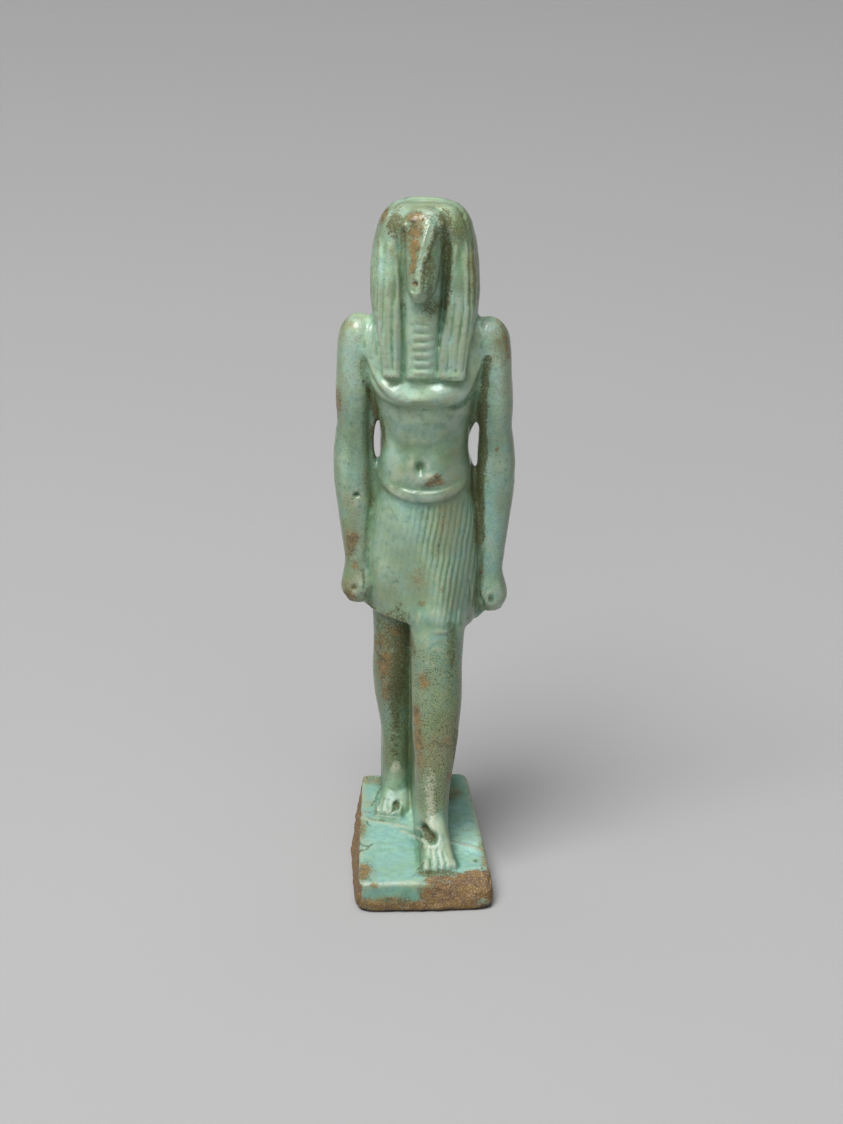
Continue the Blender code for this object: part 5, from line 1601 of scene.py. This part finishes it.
def glaze_material(sizes):
    """Faience glaze with painted light and shade, under bloom, wear, dirt, rust and bare core, by the masks
    stored on the mesh.
    """
    g = Graph("faience_glaze")
    place = g.add("Mapping", {"Vector": g.add("TexCoord").outputs["Object"]},
                  Scale=(1 / MM, 1 / MM, 1 / MM)).outputs[0]
    mask = {name: g.add("Attribute", attribute_name=name).outputs["Fac"] for name in MASKS}
    noise = {name: g.noise(place, *numbers) for name, numbers in NOISES.items()}
    furrow = g.sum(g.ridges(mask["pleat"]), mask["pleated"], "MULTIPLY")
    grit = g.spread(noise["grain"], 0.35, 0.65, -0.3, 0.3)
    bloom = g.sum(mask["bloom"], g.spread(noise["mottle"], 0.3, 0.7, -0.3, 0.3))
    cover = {
        "bloom": g.spread(bloom, 0.08, 0.95, 0.0, 0.75),
        "pale": g.spread(g.sum(mask["pale"], grit), 0.3, 0.9),
        "dirt_and_shade": g.spread(g.sum(mask["dirt_and_shade"], grit), 0.28, 0.9, 0.0, 0.92),
        "rust": g.spread(g.sum(mask["rust"], grit), 0.3, 0.9, 0.0, 0.9),
        "bare": g.spread(g.sum(mask["bare"], grit), 0.2, 0.75),
    }
    colour = sound_glaze(g, mask, noise, furrow, sizes)
    colour = bloomed(g, mask, noise, cover, colour)
    colour = weathered(g, noise, cover, colour, sizes)
    g.links.new(colour, g.shader.inputs["Base Color"])
    glossed(g, mask, noise, cover, sizes)
    fine_relief(g, noise, cover, furrow)
    return g.material


def plain_material(name, tone, roughness):
    """Plain matte finish of one grey tone."""
    g = Graph(name)
    g.shader.inputs["Base Color"].default_value = (tone, tone, tone, 1.0)
    g.shader.inputs["Roughness"].default_value = roughness
    return g.material


class AMULET_OT_cast(bpy.types.Operator):
    """Build the amulet's single piece with its relief and wear"""

    bl_idname = "amulet.cast"
    bl_label = "Cast amulet"

    def execute(self, context):
        """Make the mesh and its masks, and stand it for the solid."""
        sizes = context.scene.amulet_sizes
        points, faces = cast(sizes)
        surface = Surface(points, faces)
        piece = new_object("faience_amulet", points, faces)
        mesh = piece.data
        for name, values in painted(surface).items():
            layer = mesh.attributes.new(name, "FLOAT", "POINT")
            layer.data.foreach_set("value", np.clip(values, 0.0, 1.0).astype(np.float32))
        mesh.shade_smooth()
        mesh.materials.append(glaze_material(sizes))
        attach(piece, "root")
        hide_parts("amulet")
        return {"FINISHED"}


class AMULET_OT_stage(bpy.types.Operator):
    """Lay the floor and set the lights and the camera"""

    bl_idname = "amulet.stage"
    bl_label = "Set stage"

    def execute(self, context):
        """Make the floor, the lights, the surroundings and the camera."""
        sizes = context.scene.amulet_sizes
        corners = np.array(((-1, -1, 0), (1, -1, 0), (1, 1, 0), (-1, 1, 0))) * FLOOR_REACH
        floor = new_object("floor", corners, np.array(((0, 1, 2), (0, 2, 3))))
        floor.data.materials.append(plain_material("pale_floor", sizes.floor_tone, FLOOR_ROUGHNESS))
        area_light("key", KEY_PLACE, KEY_SIZE, sizes.key_power)
        area_light("front", FRONT_PLACE, FRONT_SIZE, sizes.front_power)
        area_light("over_front", OVER_PLACE, OVER_SIZE, sizes.over_power)
        area_light("over_back", OVER_PLACE * np.array((1, -1, 1)), OVER_SIZE, sizes.over_power)
        world = bpy.data.worlds.new("studio")
        world.use_nodes = True
        world.node_tree.nodes["Background"].inputs["Color"].default_value = STUDIO_TONE
        context.scene.world = world
        context.scene.view_settings.view_transform = "Standard"
        back, right, up = view_axes()
        data = bpy.data.cameras.new("front_view")
        data.sensor_fit = "VERTICAL"
        data.sensor_height = SENSOR_HEIGHT
        data.lens = data.sensor_height * PIXELS_A_MM * VIEW_DISTANCE / PICTURE[1]
        data.clip_start = NEAR_CLIP
        camera = bpy.data.objects.new("front_view", data)
        turn = Matrix((right, up, back)).transposed()
        place = Vector((np.array(VIEW_TARGET) + VIEW_DISTANCE * back) * MM)
        camera.matrix_world = Matrix.LocRotScale(place, turn.to_quaternion(), None)
        context.scene.collection.objects.link(camera)
        context.scene.camera = camera
        return {"FINISHED"}


def area_light(name, place, size, power):
    """Square soft light at a place in millimetres, aimed at the middle of the figure."""
    data = bpy.data.lights.new(name, "AREA")
    data.size = size * MM
    data.energy = power
    light = bpy.data.objects.new(name, data)
    aim = Vector(VIEW_TARGET) - Vector(place)
    light.matrix_world = Matrix.LocRotScale(Vector(place) * MM, aim.to_track_quat("-Z", "Y"), None)
    bpy.context.scene.collection.objects.link(light)


class AMULET_PT_panel(bpy.types.Panel):
    """Sizes, colours and steps of the amulet"""

    bl_label = "Faience amulet"
    bl_idname = "AMULET_PT_panel"
    bl_space_type = "VIEW_3D"
    bl_region_type = "UI"
    bl_category = "Amulet"

    def draw(self, context):
        """List every size and step."""
        sizes = context.scene.amulet_sizes
        for name in AmuletSizes.__annotations__:
            self.layout.prop(sizes, name)
        for operator in (AMULET_OT_cast, AMULET_OT_stage):
            self.layout.operator(operator.bl_idname)


CLASSES = (AmuletSizes, AMULET_OT_cast, AMULET_OT_stage, AMULET_PT_panel)


def register():
    """Add the classes and the scene's settings."""
    for kind in CLASSES:
        bpy.utils.register_class(kind)
    bpy.types.Scene.amulet_sizes = PointerProperty(type=AmuletSizes)


def unregister():
    """Take the settings and the classes away again."""
    del bpy.types.Scene.amulet_sizes
    for kind in reversed(CLASSES):
        bpy.utils.unregister_class(kind)


def main():
    """Build everything in order."""
    register()
    bpy.ops.amulet.cast()
    bpy.ops.amulet.stage()


if __name__ == "__main__":
    main()
